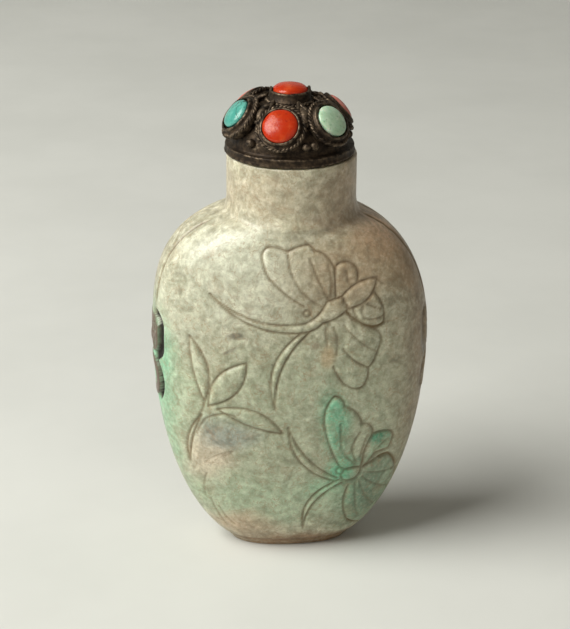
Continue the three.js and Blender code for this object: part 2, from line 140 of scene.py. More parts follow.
def ring_directions(count):
    """Directions round the bottle: the distance between two points is one over the fineness there.

    The plan is x = a cos(t) ** (2 / n), y = b sin(t) ** (2 / n) with n the squareness.
    """
    turn = np.linspace(-np.pi, np.pi, 4001)
    x = HALF_WIDTH * np.sign(np.cos(turn)) * np.abs(np.cos(turn)) ** (2 / SQUARENESS)
    y = HALF_THICKNESS * np.sign(np.sin(turn)) * np.abs(np.sin(turn)) ** (2 / SQUARENESS)
    length = np.hypot(np.gradient(x, turn), np.gradient(y, turn))
    off_front = np.where(y < FACE_STARTS, FINENESS["sides"], FINENESS["back"])
    fineness = np.where(y < -FACE_STARTS, FINENESS["front"], off_front)
    at_handle_edge = (x < 0) & (np.abs(np.abs(y) - HANDLE_EDGE) < HANDLE_EDGE_REACH)
    fineness = np.where(at_handle_edge, FINENESS["left handle's edges"], fineness)
    window = np.ones(2 * FINENESS_BLUR + 1) / (2 * FINENESS_BLUR + 1)
    fineness = np.convolve(np.pad(fineness, FINENESS_BLUR, mode="wrap"), window, mode="valid")
    angle = np.unwrap(np.arctan2(y, x))
    picked = spread_evenly(turn, length * fineness, count + 1)[:-1]
    return np.interp(picked, turn, angle)


def ring(radius, z, angles):
    """One closed ring of points at height z."""
    return np.stack([radius * np.cos(angles), radius * np.sin(angles), np.full_like(angles, z)], axis=-1)


ANGLES = ring_directions(COLUMNS)
COS, SIN = np.cos(ANGLES), np.sin(ANGLES)
# The rings lie closer together the more the wall slopes, and far apart on the plain neck.
HEIGHTS = np.linspace(0, RIM_HEIGHT - RIM_ROUNDING, 2000)
SLOPE = np.gradient(half_width(HEIGHTS, -1.0), HEIGHTS)
SLOPE = np.where(HEIGHTS < NECK_BASE, np.clip(np.abs(SLOPE), 0, 6), 0)
ROW_DENSITY = np.where(HEIGHTS < NECK_BASE + 1, np.sqrt(1 + (0.5 * SLOPE) ** 2), NECK_ROW_DENSITY)
ROWS = spread_evenly(HEIGHTS, ROW_DENSITY, ROW_COUNT)
wall_rows = np.stack([ring(outer_radius(COS, SIN, z), z, ANGLES) for z in ROWS])

# ---------------------------------------------------------------------------------------------------
# The carving on the bottle: two butterflies and a spray of leaves on the front, two plain leaves on
# the back. The ground is cut down a hair round each figure, the outlines and veins are cut with a
# wheel, and the figures are left slightly pillowed.
# ---------------------------------------------------------------------------------------------------
# Places are [x, z] in millimetres. A blade is a pointed leaf, feeler or body: its edges run from root
# to tip, their middles standing off the straight line by the two sides. An outline is a chain of bows:
# each place after the first also says how far the middle of its bow stands off, to the right of travel.
CUT_HALF_WIDTH = 0.24
CUT_DEPTH = 0.2
BACK_CUT_HALF_WIDTH = 0.7
BACK_CUT_DEPTH = 0.16
VEIN_DEPTH = 0.16
FOLD_DEPTH = 0.3
GRASS_DEPTH = 0.11
FIGURE_RAISE = 0.13
PILLOW_WIDTH = 0.7
GROUND_SINK = 0.08
GROUND_REACH = 2.5
FACE_FROM = 3.5
FACE_TOP = 52.6

UPPER_BUTTERFLY = {
    "feelers": [
        [[1.0, 39.4], [-12.6, 43.7, -1.65], [0.6, 38.0, 1.75]],
        [[0.6, 38.0], [-3.2, 26.0, 2.3], [2.0, 38.3, -1.65]],
    ],
    "body": [
        [[1.0, 39.4], [4.2, 42.7, 0.5], [6.4, 43.3, 0], [7.4, 41.4, 0], [3.6, 39.4, -0.35],
         [0.6, 38.0, -0.35]],
        [[6.4, 43.3], [11.7, 45.5, -0.8], [7.4, 41.4, -1.15]],
    ],
    "wings": [
        [[0.9, 42.1], [-4.2, 46.4, -0.3], [-5.15, 49.6, -0.2], [-3.6, 50.85, -0.45], [-1.5, 50.2, -0.1],
         [1.5, 51.1, -0.15], [2.4, 50.3, -0.1], [5.35, 47.35, -0.6], [5.5, 43.3, 0]],
        [[5.35, 46.4], [5.6, 48.0, -0.1], [7.2, 48.35, -0.2], [8.8, 47.0, -0.25], [8.7, 45.4, 0]],
        [[8.0, 41.6], [9.0, 39.2, 0.1], [10.9, 38.2, 0.15], [12.8, 38.6, 0.25], [12.9, 40.1, 0],
         [12.6, 41.3, 0.05], [11.1, 43.7, 0.1]],
        [[7.1, 40.9], [10.7, 38.1, 0.3], [12.4, 36.8, -0.2], [12.5, 35.7, -0.1], [11.7, 33.5, 0],
         [10.6, 31.8, -0.15], [6.7, 35.2, -0.4]],
        [[10.6, 31.8], [10.1, 29.1, -0.2], [8.6, 28.6, -0.2], [6.6, 30.0, -0.2], [5.3, 32.5, -0.1]],
    ],
    "veins": [
        [[-1.45, 49.7], [3.4, 42.0, 1.2]],
        [[1.7, 49.1], [4.4, 43.0, 0.1]],
        [[4.3, 48.2], [4.6, 43.3, -0.35]],
        [[6.8, 38.9], [11.5, 34.4, 0.35]],
        [[5.2, 38.7], [5.7, 34.2, -0.4]],
        [[4.1, 38.4], [4.3, 35.9, 0]],
        [[9.5, 41.7], [9.6, 39.8, 0.1], [11.2, 39.4, 0.1], [13.1, 40.0, 0.15]],
        [[10.2, 41.9], [12.3, 40.8, 0.1]],
        [[7.0, 47.1], [7.3, 45.6, 0]],
        [[11.7, 45.5], [12.9, 44.3, 0.1]],
    ],
    "folds": [[[7.1, 40.9], [9.0, 39.2, 0.1], [10.9, 38.2, 0.15], [12.8, 38.6, 0.25]]],
    "eye": {"at": [1.3, 41.0], "radius": 0.5},
}

LOWER_BUTTERFLY = {
    "feelers": [
        [[6.3, 13.5], [-1.2, 22.8, -1.15], [6.0, 12.9, 2.05]],
        [[6.7, 13.0], [1.6, 4.0, 2.2], [7.2, 12.4, -1.6]],
    ],
    "body": [
        [[7.0, 14.1], [7.3, 12.9, 0.1], [9.0, 12.9, 0.15], [10.1, 14.9, 0.3], [8.9, 15.1, 0],
         [7.4, 14.8, 0]],
    ],
    "wings": [
        [[6.9, 15.2], [4.1, 23.9, -0.5], [5.6, 27.7, -0.4], [7.2, 25.9, -0.4], [8.5, 25.1, 0],
         [9.9, 22.6, -0.25], [11.1, 22.2, -0.1], [11.6, 20.3, -0.3], [10.4, 17.4, 0.1], [10.1, 15.1, 0]],
        [[11.5, 20.4], [13.0, 20.7, -0.1], [14.7, 20.2, -0.15], [15.0, 19.2, -0.1], [14.3, 17.2, -0.1],
         [12.1, 17.0, 0.1], [10.4, 14.9, -0.15]],
        [[8.2, 11.8], [7.6, 8.4, 0.15], [8.1, 5.6, 0.1], [8.6, 4.5, 0.1], [10.7, 3.0, 0.2], [13.6, 6.4, 0.2],
         [15.7, 10.6, 0.3], [15.6, 14.2, 0.3], [14.3, 16.3, 0.2], [12.8, 16.1, 0.1], [10.4, 14.7, 0.1]],
    ],
    "veins": [
        [[6.6, 23.0], [6.9, 18.7, 0.1], [9.2, 15.6, 0.25]],
        [[9.6, 21.2], [8.4, 18.5, 0.15], [9.2, 16.1, 0.1]],
        [[10.8, 20.6], [9.8, 17.0, 0.1]],
        [[9.2, 12.3], [9.9, 5.8, 0.2]],
        [[9.8, 12.6], [12.4, 7.0, 0.3]],
        [[10.3, 13.2], [14.8, 9.6, 0.3]],
        [[10.6, 14.0], [15.4, 13.0, 0.2]],
        [[12.3, 17.7], [13.8, 19.0, -0.1]],
    ],
    "folds": [
        [[8.6, 4.4], [10.4, 3.3, 0.2], [11.6, 3.6, 0.1]],
        [[15.6, 14.2], [14.3, 16.3, 0.2], [12.8, 16.1, 0.1]],
    ],
    "eye": {"at": [6.8, 14.7], "radius": 0.6},
}

FRONT_LEAVES = [
    {"root": [-13.5, 26.6], "tip": [-15.6, 36.8], "sides": [-0.6, 1.6]},
    {"root": [-12.9, 26.0], "tip": [-7.4, 33.3], "sides": [-1.9, 1.75]},
    {"root": [-11.6, 25.6], "tip": [-2.0, 21.8], "sides": [-1.9, 0.7]},
    {"root": [-13.9, 24.4], "tip": [-15.6, 15.6], "sides": [0.45, 1.1]},
]
# Fine strokes that don't bound a figure: the stem, a sketched leaf low down and blades of grass.
STEM = [
    [[-9.1, 24.7], [-13.2, 23.9, 0.45], [-14.6, 21.0, 0.2]],
    [[-13.4, 26.8], [-13.8, 25.1, 0], [-14.2, 24.2, 0]],
]
GRASS = [
    [[-13.3, 16.2], [-9.3, 18.6, -0.35]],
    [[-9.5, 18.5], [-10.7, 17.6, -0.1], [-10.1, 16.5, 0]],
    [[-13.1, 14.1], [-13.2, 9.6, 0.3]],
    [[-12.4, 9.2], [-11.1, 6.0, 0.15], [-9.9, 3.9, 0.1]],
    [[-11.2, 7.8], [-8.8, 4.4, 0.2]],
]
BACK_LEAVES = [
    {"root": [0, 14], "tip": [-8, 35], "sides": [-2.6, -0.4]},
    {"root": [1, 14], "tip": [9, 29], "sides": [-2.8, -0.8]},
]
# How green the stone is in each wing of the lower butterfly; the first one pales towards the right.
WING_GREENNESS = (1.0, 0.7, 0.35)
GREEN_ENDS = 9.6
GREEN_FADE = 4


def bow(start, end, sag, step=0.3):
    """A parabola from start to end whose middle stands off the chord by sag, to the right of travel."""
    start, end = np.array(start, float), np.array(end, float)
    chord = end - start
    length = np.hypot(*chord)
    right = np.array([chord[1], -chord[0]]) / length
    t = np.linspace(0, 1, max(3, round(length / step)))[:, None]
    return start + t * chord + 4 * sag * t * (1 - t) * right


def chain(places):
    """The bows between successive places, joined into one line."""
    stretches = [bow(a[:2], b[:2], b[2]) for a, b in zip(places, places[1:])]
    return np.concatenate([stretches[0]] + [stretch[1:] for stretch in stretches[1:]])


def blade_outline(blade):
    """Up one edge of a blade and down the other."""
    left = bow(blade["root"], blade["tip"], blade["sides"][0])
    right = bow(blade["root"], blade["tip"], blade["sides"][1])
    return np.concatenate([left, right[::-1]])


def distance_to(line, places, reach):
    """Least distance from each place to a line of points, or reach where the line is further off."""
    found = np.full(len(places), reach)
    near = np.all((places > line.min(0) - reach) & (places < line.max(0) + reach), axis=1)
    here = places[near]
    best = np.full(len(here), reach)
    for a, b in zip(line, line[1:]):
        along = b - a
        share = np.clip((here - a) @ along / max(along @ along, 1e-9), 0, 1)
        best = np.minimum(best, np.hypot(*(here - a - share[:, None] * along).T))
    found[near] = best
    return found


def inside(outline, places):
    """True for each place within a closed outline, by counting the edges passed on its right."""
    x, z = places.T
    crossings = np.zeros(len(places), int)
    for (x0, z0), (x1, z1) in zip(outline, np.roll(outline, -1, axis=0)):
        if z0 != z1:
            passes = ((z0 > z) != (z1 > z)) & (x < x0 + (z - z0) * (x1 - x0) / (z1 - z0))
            crossings += passes
    return crossings % 2 == 1


def smooth_step(value):
    """Eases from 0 to 1 as the value goes from 0 to 1."""
    value = np.clip(value, 0, 1)
    return value * value * (3 - 2 * value)


class Carving:
    """Relief over one face of the bottle: height in millimetres, cut share and figure share per place."""

    def __init__(self, places):
        self.places = places
        self.cut = np.zeros(len(places))
        self.figure = np.zeros(len(places))
        self.depth = np.zeros(len(places))
        self.nearest = np.full(len(places), GROUND_REACH)

    def line(self, points, depth, half_width=CUT_HALF_WIDTH):
        """A cut along the points whose floor eases up to the ground over one and a quarter half widths."""
        distance = distance_to(points, self.places, GROUND_REACH)
        share = smooth_step(1 - distance / (half_width * 1.25))
        self.cut = np.maximum(self.cut, share * depth / CUT_DEPTH)
        self.depth = np.maximum(self.depth, share * depth)

    def fill(self, outline):
        """A pillow inside a closed outline: it rises from the edge and levels off one pillow width in."""
        closed = np.concatenate([outline, outline[:1]])
        distance = distance_to(closed, self.places, GROUND_REACH)
        within = inside(outline, self.places)
        self.figure = np.maximum(self.figure, within * smooth_step(distance / PILLOW_WIDTH))
        self.nearest = np.minimum(self.nearest, np.where(within, 0, distance))

    def height(self):
        """Raised figures, sunk ground round them, and the cuts taken out of both."""
        ground = GROUND_SINK * smooth_step(1 - self.nearest / GROUND_REACH) * (1 - self.figure)
        return FIGURE_RAISE * self.figure - ground - self.depth


def carve_front(places):
    """Both butterflies, the leaves and the grass."""
    carving = Carving(places)
    for butterfly in (UPPER_BUTTERFLY, LOWER_BUTTERFLY):
        for kind in ("feelers", "wings", "body"):
            for outline in butterfly[kind]:
                carving.fill(chain(outline))
                carving.line(chain(outline), CUT_DEPTH)
        for vein in butterfly["veins"]:
            carving.line(chain(vein), VEIN_DEPTH)
        for fold in butterfly["folds"]:
            carving.line(chain(fold), FOLD_DEPTH, 1.4 * CUT_HALF_WIDTH)
        turn = np.linspace(0, 2 * np.pi, 24)[:, None]
        eye = butterfly["eye"]
        rim = np.array(eye["at"]) + eye["radius"] * np.hstack([np.cos(turn), np.sin(turn)])
        carving.fill(rim[:-1])
        carving.line(rim, VEIN_DEPTH)
    for leaf in FRONT_LEAVES:
        carving.fill(blade_outline(leaf))
        carving.line(blade_outline(leaf), CUT_DEPTH)
    for stroke in STEM:
        carving.line(chain(stroke), VEIN_DEPTH)
    for stroke in GRASS:
        carving.line(chain(stroke), GRASS_DEPTH)
    return carving


def carve_back(places):
    """Two plain leaves."""
    carving = Carving(places)
    for leaf in BACK_LEAVES:
        carving.fill(blade_outline(leaf))
        carving.line(blade_outline(leaf), BACK_CUT_DEPTH, BACK_CUT_HALF_WIDTH)
    return carving


X, Y, Z = wall_rows.reshape(-1, 3).T
relief = np.zeros(X.size)
cut = np.zeros(X.size)
figure = np.zeros(X.size)
for carve, facing in ((carve_front, -1), (carve_back, 1)):
    on_face = (facing * Y > FACE_FROM) & (Z < FACE_TOP)
    carving = carve(np.stack([X[on_face], Z[on_face]], axis=-1))
    relief[on_face] = carving.height()
    cut[on_face] = carving.cut
    figure[on_face] = carving.figure
green_wing = np.zeros(X.size)
on_front = Y < -FACE_FROM
for outline, greenness in zip(LOWER_BUTTERFLY["wings"], WING_GREENNESS):
    here = inside(chain(outline), np.stack([X[on_front], Z[on_front]], axis=-1))
    fade = smooth_step((GREEN_ENDS - X[on_front]) / GREEN_FADE) if greenness == 1 else 1
    green_wing[on_front] = np.maximum(green_wing[on_front], here * greenness * fade)

# ---------------------------------------------------------------------------------------------------
# Handles and shoulder bands, cut from the same stone on the two narrow sides: a small animal mask with
# ears, eyes and muzzle holding a ring, both left in the brown skin of the pebble, under a flat band
# that runs up to the neck between two cut lines. The right handle is flat and has lost its skin.
# ---------------------------------------------------------------------------------------------------
BAND_HALF_WIDTH = {"left": 2.7, "right": 2.2}
BAND_BOTTOM = 39.5
BAND_CUT_DEPTH = 0.34
BAND_CUT_HALF_WIDTH = 0.42
# How dark the band lines are: dirt, and on the right also painted shade along the silhouette.
BAND_DIRT_AND_SHADE = {"left": 1.3, "right": 2.2}
BAND_SHADOW = {"left": 0.15, "right": 0.5}
MASK_HEIGHT = 35.0
MASK_HALF_WIDTH = 4.2
MASK_HALF_HEIGHT = 3.5
MASK_LOBES = 0.08
MASK_RELIEF = 0.06
RING_HEIGHT = 28.0
RING_RADIUS = 2.8
RING_WIRE = 0.8
RING_RELIEF = 0.14
RING_BED = 0.06
# The recess lies round mask and ring, off the middle of the side.
RECESS_DEPTH = 0.85
RECESS_REACH = 1.25
RECESS_OFF_MIDDLE = 1.6
HOLE_DEPTH = 0.3
SKIN_DEPTH = 0.35
SIDE_HALF_WIDTH = 7
SIDE_FROM = 8.5
HANDLE_SHARE = {"left": 1, "right": 0.4}
HANDLE_SHADOW = {"left": 1, "right": 0.3}
# Lumps (rise above 0) and hollows of the mask: place across and up from its middle, half sizes, rise.
MASK_PAIRS = {
    "eye socket": ((1.7, 0.7), (1.3, 0.9), -0.35),
    "eyeball": ((1.7, 0.7), (0.8, 0.6), 0.35),
    "ear": ((3.0, 2.2), (0.8, 0.8), -0.35),
    "nostril": ((0.8, -1.2), (0.5, 0.4), -0.25),
    "cheek": ((2.4, -1.6), (0.5, 1.3), -0.25),
}
MASK_MIDDLE = {
    "nose": ((0, -0.9), (0.9, 0.9), 0.12),
    "mouth": ((0, -2.5), (1.8, 0.4), -0.3),
}


def lump(y, z, at, half, rise):
    """A smooth round-topped lump of the given half sizes, placed from the middle of the mask."""
    reach = np.hypot((y - at[0]) / half[0], (z - (MASK_HEIGHT + at[1])) / half[1])
    return rise * np.sqrt(np.clip(1 - reach ** 2, 0, None))


def side_relief(y, z):
    """Height of a handle over a narrow side, and how much of the brown skin is left there."""
    across, up = y / MASK_HALF_WIDTH, (z - MASK_HEIGHT) / MASK_HALF_HEIGHT
    share = np.hypot(across, up) / (1 - MASK_LOBES * np.cos(4 * np.arctan2(up, across)))
    outside_mask = (share - 1) * MASK_HALF_HEIGHT
    from_ring = np.abs(np.hypot(y, z - RING_HEIGHT) - RING_RADIUS)
    mask = smooth_step(-outside_mask / 0.5)
    hoop = np.sqrt(np.clip(1 - (from_ring / RING_WIRE) ** 2, 0, None))
    carved = np.maximum(mask, smooth_step(2 * hoop))
    field = smooth_step((RECESS_REACH - np.minimum(outside_mask, from_ring - RING_WIRE)) / 0.7)
    field *= smooth_step((np.abs(y) - RECESS_OFF_MIDDLE) / 1.4)
    within_ring = smooth_step((RING_RADIUS - RING_WIRE - np.hypot(y, z - RING_HEIGHT)) / 0.8)
    within_ring *= smooth_step(np.abs(y))
    height = -RECESS_DEPTH * field * (1 - carved) - HOLE_DEPTH * within_ring * (1 - mask)
    height += MASK_RELIEF * mask * np.sqrt(np.clip(1 - share ** 2, 0, 1))
    height += (1 - mask) * (RING_RELIEF * hoop - RING_BED)
    for hand in (-1, 1):
        for at, half, rise in MASK_PAIRS.values():
            height += lump(y, z, (hand * at[0], at[1]), half, rise)
    for at, half, rise in MASK_MIDDLE.values():
        height += lump(y, z, at, half, rise)
    return height, field * (1 - carved), carved * smooth_step((height + SKIN_DEPTH) / 0.25)


def band_cuts(y, z, off_middle):
    """Two parallel cut lines from the mask up to the neck, one on each side of the middle."""
    from_line = np.minimum(np.abs(np.abs(y) - off_middle) / BAND_CUT_HALF_WIDTH, 1)
    ends = smooth_step((z - BAND_BOTTOM) / 1.5) * smooth_step((NECK_BASE - z) / 1.2)
    return smooth_step(1 - from_line) * ends


on_side = (np.abs(Y) < SIDE_HALF_WIDTH) & (Z < NECK_BASE) & (np.abs(X) > SIDE_FROM)
on_left = X[on_side] < 0


def by_side(values):
    """The left or the right one of two values, for each place on the narrow sides."""
    return np.where(on_left, values["left"], values["right"])


side_y = np.sign(X[on_side]) * Y[on_side]
handle_height, recess, handle_skin = side_relief(side_y, Z[on_side])
lines = band_cuts(side_y, Z[on_side], by_side(BAND_HALF_WIDTH))
relief[on_side] += by_side(HANDLE_SHARE) * handle_height - BAND_CUT_DEPTH * lines
skin = np.zeros(X.size)
skin[on_side] = np.where(on_left, handle_skin, 0)
# Painted shadow: the recesses round mask and ring, fully on the left and less on the right, and the band
# lines, most on the right.
shadow = np.zeros(X.size)
shadow[on_side] = by_side(HANDLE_SHADOW) * smooth_step(2.0 * recess - 0.3)
shadow[on_side] = np.maximum(shadow[on_side], by_side(BAND_SHADOW) * lines)
# The cut share that the dirt darkening reads takes the band lines, darker on the right as painted shade, and
# the painted recess shadow.
cut[on_side] = np.maximum(cut[on_side], by_side(BAND_DIRT_AND_SHADE) * lines)
cut[on_side] = np.maximum(cut[on_side], shadow[on_side])

# ---------------------------------------------------------------------------------------------------
# The skin of the bottle and its stone: one closed surface from the foot up the wall, over the lip and
# down through the bore into the hollow. The stone is jadeite, felted pale and grey, green in places,
# browned at one shoulder and at the foot, polished, with dirt in its cuts. Its colour also holds painted
# light: painted highlights on the left shoulder, painted light on the right shoulder, painted shade on
# the right side, round the neck, on the lower wing and in the handle's recesses, and painted dark
# reflections along the rims.
# ---------------------------------------------------------------------------------------------------
FOOT_LINE_HALF_WIDTH = 0.45
FOOT_LINE_DIRT = 0.6
FOOT_SCALES = (0.04, 0.4, 0.75, 0.93)
FLOOR_SCALES = (0.6, 0.05)
foot_line = smooth_step(1 - np.abs(Z - FOOT_LINE_HEIGHT) / FOOT_LINE_HALF_WIDTH)
relief -= FOOT_LINE_DEPTH * foot_line
cut = np.maximum(cut, FOOT_LINE_DIRT * foot_line)


def raise_surface(rows, height):
    """Moves each point of a ring grid along its normal: the cross product of the steps round and up."""
    around = np.roll(rows, -1, axis=1) - np.roll(rows, 1, axis=1)
    upward = np.gradient(rows, axis=0)
    normal = np.cross(around, upward)
    normal /= np.linalg.norm(normal, axis=-1, keepdims=True)
    return rows + height.reshape(rows.shape[:2])[..., None] * normal


wall_rows = raise_surface(wall_rows, relief)


def scaled_rings(source, scales, z):
    """Copies of a ring drawn in towards the axis by each scale, laid at height z."""
    return np.stack([source * [scale, scale, 0] + [0, 0, z] for scale in scales])


def rounded_edge(radius, z, rounding, upward, count=4):
    """Rings over a quarter circle, from the upright side in to the flat end at z.

    At turn t the radius is less by r (1 - cos t) and the height stands r (1 - sin t) short of z, below
    an end that looks up (upward 1) or above one that looks down (upward -1).
    """
    turns = np.linspace(0, np.pi / 2, count + 1)
    heights = z - upward * rounding * (1 - np.sin(turns))
    inward = rounding * (1 - np.cos(turns))
    return np.stack([ring(radius - step, height, ANGLES) for step, height in zip(inward, heights)])


foot_edge = rounded_edge(outer_radius(COS, SIN, FOOT_ROUNDING), 0.0, FOOT_ROUNDING, -1)[::-1]
foot_rows = scaled_rings(foot_edge[0], FOOT_SCALES, 0.0)
above_foot = ROWS > FOOT_ROUNDING + 0.05
wall_rows = wall_rows[above_foot]
neck_ring = np.full_like(COS, NECK_RADIUS)
mouth_ring = np.full_like(COS, MOUTH_RADIUS)
rim_rows = rounded_edge(neck_ring, RIM_HEIGHT, RIM_ROUNDING, 1)[1:]
# The mouth widens at its edge: the same rounding on a radius below zero, turned over.
mouth_rows = rounded_edge(-mouth_ring, RIM_HEIGHT, RIM_ROUNDING, 1, 3)[::-1] * [-1, -1, 1]
bore_heights = np.linspace(RIM_HEIGHT - LIP_DEPTH, CAVITY_TOP, 4)
bore_rows = np.stack([ring(mouth_ring, z, ANGLES) for z in bore_heights])
cavity_heights = np.linspace(CAVITY_TOP, CAVITY_FLOOR, 14)
cavity_rows = np.stack([ring(body_radius(COS, SIN, z, WALL), z, ANGLES) for z in cavity_heights])
floor_rows = scaled_rings(cavity_rows[-1], FLOOR_SCALES, CAVITY_FLOOR)
parts_of_skin = [foot_rows, foot_edge, wall_rows, rim_rows, mouth_rows, bore_rows, cavity_rows, floor_rows]
bottle_rows = np.concatenate(parts_of_skin)


def shell(rows):
    """Points, quads and end triangles of a closed skin over rings listed from one end to the other."""
    count, around = rows.shape[:2]
    start = np.arange(count - 1)[:, None] * around
    here = start + np.arange(around)
    beside = start + (np.arange(around) + 1) % around
    quads = np.stack([here, beside, beside + around, here + around], axis=-1).reshape(-1, 4)
    first, last = count * around, count * around + 1
    ends = np.arange(around)
    after = (ends + 1) % around
    base = (count - 1) * around
    cap_low = np.stack([after, ends, np.full(around, first)], axis=-1)
    cap_high = np.stack([base + ends, base + after, np.full(around, last)], axis=-1)
    points = np.concatenate([rows.reshape(-1, 3), rows[:1].mean(1), rows[-1:].mean(1)])
    return points, quads.tolist() + cap_low.tolist() + cap_high.tolist()


def add_piece(name, shells, material, replaced=None):
    """Joins closed skins, in millimetres, into one smooth mesh object that rides on the root body."""
    points, faces, offset = [], [], 0
    for skin_points, skin_faces in shells:
        points.append(skin_points)
        faces += [[corner + offset for corner in face] for face in skin_faces]
        offset += len(skin_points)
    mesh = bpy.data.meshes.new(name)
    mesh.from_pydata(np.concatenate(points) * MM, [], faces)
    mesh.polygons.foreach_set("use_smooth", np.ones(len(mesh.polygons), bool))
    mesh.materials.append(material)
    piece = bpy.data.objects.new(name, mesh)
    bpy.context.scene.collection.objects.link(piece)
    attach(piece, "root")
    if replaced:
        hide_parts(replaced)
    return piece


def set_attribute(piece, name, values):
    """One number for each point of a piece."""
    layer = piece.data.attributes.new(name, "FLOAT", "POINT")
    layer.data.foreach_set("value", values.astype(np.float32))


def add_node(tree, kind, settings=None, inputs=None):
    """Adds a shader node; an input takes either a plain value or another node's output."""
    made = tree.nodes.new(kind)
    for name, value in (settings or {}).items():
        setattr(made, name, value)
    for key, value in (inputs or {}).items():
        if isinstance(value, bpy.types.NodeSocket):
            tree.links.new(value, made.inputs[key])
        else:
            made.inputs[key].default_value = value
    return made


def new_material(name, **plain):
    """A material with one Principled shader, its plain values set on the shader's own sockets."""
    material = bpy.data.materials.new(name)
    material.use_nodes = True
    shader = material.node_tree.nodes["Principled BSDF"]
    for key, value in plain.items():
        shader.inputs[key.replace("_", " ")].default_value = value
    return material, material.node_tree, shader


def new_group(name, inputs, outputs):
    """A node group with named inputs and outputs; gives back the tree and its two end nodes."""
    tree = bpy.data.node_groups.new(name, "ShaderNodeTree")
    for label, kind, value in inputs:
        socket = tree.interface.new_socket(label, in_out="INPUT", socket_type="NodeSocket" + kind)
        if value is not None:
            socket.default_value = value
    for label, kind in outputs:
        tree.interface.new_socket(label, in_out="OUTPUT", socket_type="NodeSocket" + kind)
    return tree, tree.nodes.new("NodeGroupInput"), tree.nodes.new("NodeGroupOutput")


def place_group(tree, group, inputs):
    """Places a node group in a material and sets or links its inputs."""
    return add_node(tree, "ShaderNodeGroup", {"node_tree": group}, inputs)


def place_in_mm(tree):
    """Object coordinates in millimetres."""
    coordinates = add_node(tree, "ShaderNodeTexCoord")
    scaled = add_node(tree, "ShaderNodeVectorMath", {"operation": "SCALE"},
                      {0: coordinates.outputs["Object"], "Scale": 1 / MM})
    return scaled.outputs[0]


def mix_colour(tree, share, first, second):
    """The first colour, giving way to the second by the share.

    A mix node's colours are its inputs 6 and 7, and its mixed colour is output 2.
    """
    mix = add_node(tree, "ShaderNodeMix", {"data_type": "RGBA"}, {0: share, 6: first, 7: second})
    return mix.outputs[2]


def attribute_of(tree, name):
    """The number that a piece carries at each point under this name."""
    return add_node(tree, "ShaderNodeAttribute", {"attribute_name": name}).outputs["Fac"]


def noise(tree, place, scale, detail, roughness=0.5):
    """A number that wanders round 0.5 over a place."""
    made = add_node(tree, "ShaderNodeTexNoise", None,
                    {"Vector": place, "Scale": scale, "Detail": detail, "Roughness": roughness})
    return made.outputs["Fac"]


def mapped(tree, value, from_range, to_range=(0.0, 1.0), curve="LINEAR"):
    """The value carried from one range to another and held inside it."""
    made = add_node(tree, "ShaderNodeMapRange", {"interpolation_type": curve}, {
        "Value": value, "From Min": from_range[0], "From Max": from_range[1],
        "To Min": to_range[0], "To Max": to_range[1]})
    return made.outputs["Result"]


def product(tree, first, second, use_clamp=False):
    """Two numbers multiplied, held between 0 and 1 where asked."""
    made = add_node(tree, "ShaderNodeMath", {"operation": "MULTIPLY", "use_clamp": use_clamp},
                    {0: first, 1: second})
    return made.outputs[0]


def bumps(tree, shader, height, strength, distance, invert=False):
    """Small unevenness of a surface, from a height between 0 and 1."""
    made = add_node(tree, "ShaderNodeBump", {"invert": invert},
                    {"Strength": strength, "Distance": distance, "Height": height})
    tree.links.new(made.outputs["Normal"], shader.inputs["Normal"])


# Cloudy mask: soft-edged blotches of noise, as in stone grown from felted grains.
clouds, group_in, group_out = new_group(
    "Stone clouds",
    [("Place", "Vector", None), ("Grains per mm", "Float", 1.0), ("Roughness", "Float", 0.6),
     ("From", "Float", 0.4), ("To", "Float", 0.6)],
    [("Mask", "Float")])
grain = noise(clouds, group_in.outputs["Place"], group_in.outputs["Grains per mm"], 4.0,
              group_in.outputs["Roughness"])
edge = mapped(clouds, grain, (group_in.outputs["From"], group_in.outputs["To"]), curve="SMOOTHSTEP")
clouds.links.new(edge, group_out.inputs["Mask"])


def cloud_mask(tree, where, grains, low, high):
    """Clouds of so many grains to the millimetre; their edges lie where the noise is low to high."""
    mask = place_group(tree, clouds, {"Place": where, "Grains per mm": grains, "From": low, "To": high})
    return mask.outputs[0]


# Hairlines: thin wandering lines along which a noise passes its middle value.
hairs, group_in, group_out = new_group(
    "Hairlines",
    [("Place", "Vector", None), ("Bends per mm", "Float", 0.5), ("Width", "Float", 0.01)],
    [("Mask", "Float")])
wander = noise(hairs, group_in.outputs["Place"], group_in.outputs["Bends per mm"], 4.0)
off_middle = add_node(hairs, "ShaderNodeMath", {"operation": "SUBTRACT"}, {0: wander, 1: 0.5})
off_middle = add_node(hairs, "ShaderNodeMath", {"operation": "ABSOLUTE"}, {0: off_middle.outputs[0]})
thin = mapped(hairs, off_middle.outputs[0], (group_in.outputs["Width"], 0.0), curve="SMOOTHSTEP")
hairs.links.new(thin, group_out.inputs["Mask"])

# Colour zone: inside an oval of given middle and half sizes the colour drifts to another one.
zone, group_in, group_out = new_group(
    "Colour zone",
    [("Colour", "Color", None), ("Place", "Vector", None), ("Middle", "Vector", None),
     ("Half sizes", "Vector", None), ("Zone colour", "Color", None), ("Strength", "Float", 1.0)],
    [("Colour", "Color")])
offset = add_node(zone, "ShaderNodeVectorMath", {"operation": "SUBTRACT"},
                  {0: group_in.outputs["Place"], 1: group_in.outputs["Middle"]})
share = add_node(zone, "ShaderNodeVectorMath", {"operation": "DIVIDE"},
                 {0: offset.outputs[0], 1: group_in.outputs["Half sizes"]})
reach = add_node(zone, "ShaderNodeVectorMath", {"operation": "LENGTH"}, {0: share.outputs[0]})
fade = mapped(zone, reach.outputs["Value"], (1.25, 0.35), (0.0, group_in.outputs["Strength"]), "SMOOTHSTEP")
mixed = mix_colour(zone, fade, group_in.outputs["Colour"], group_in.outputs["Zone colour"])
zone.links.new(mixed, group_out.inputs["Colour"])

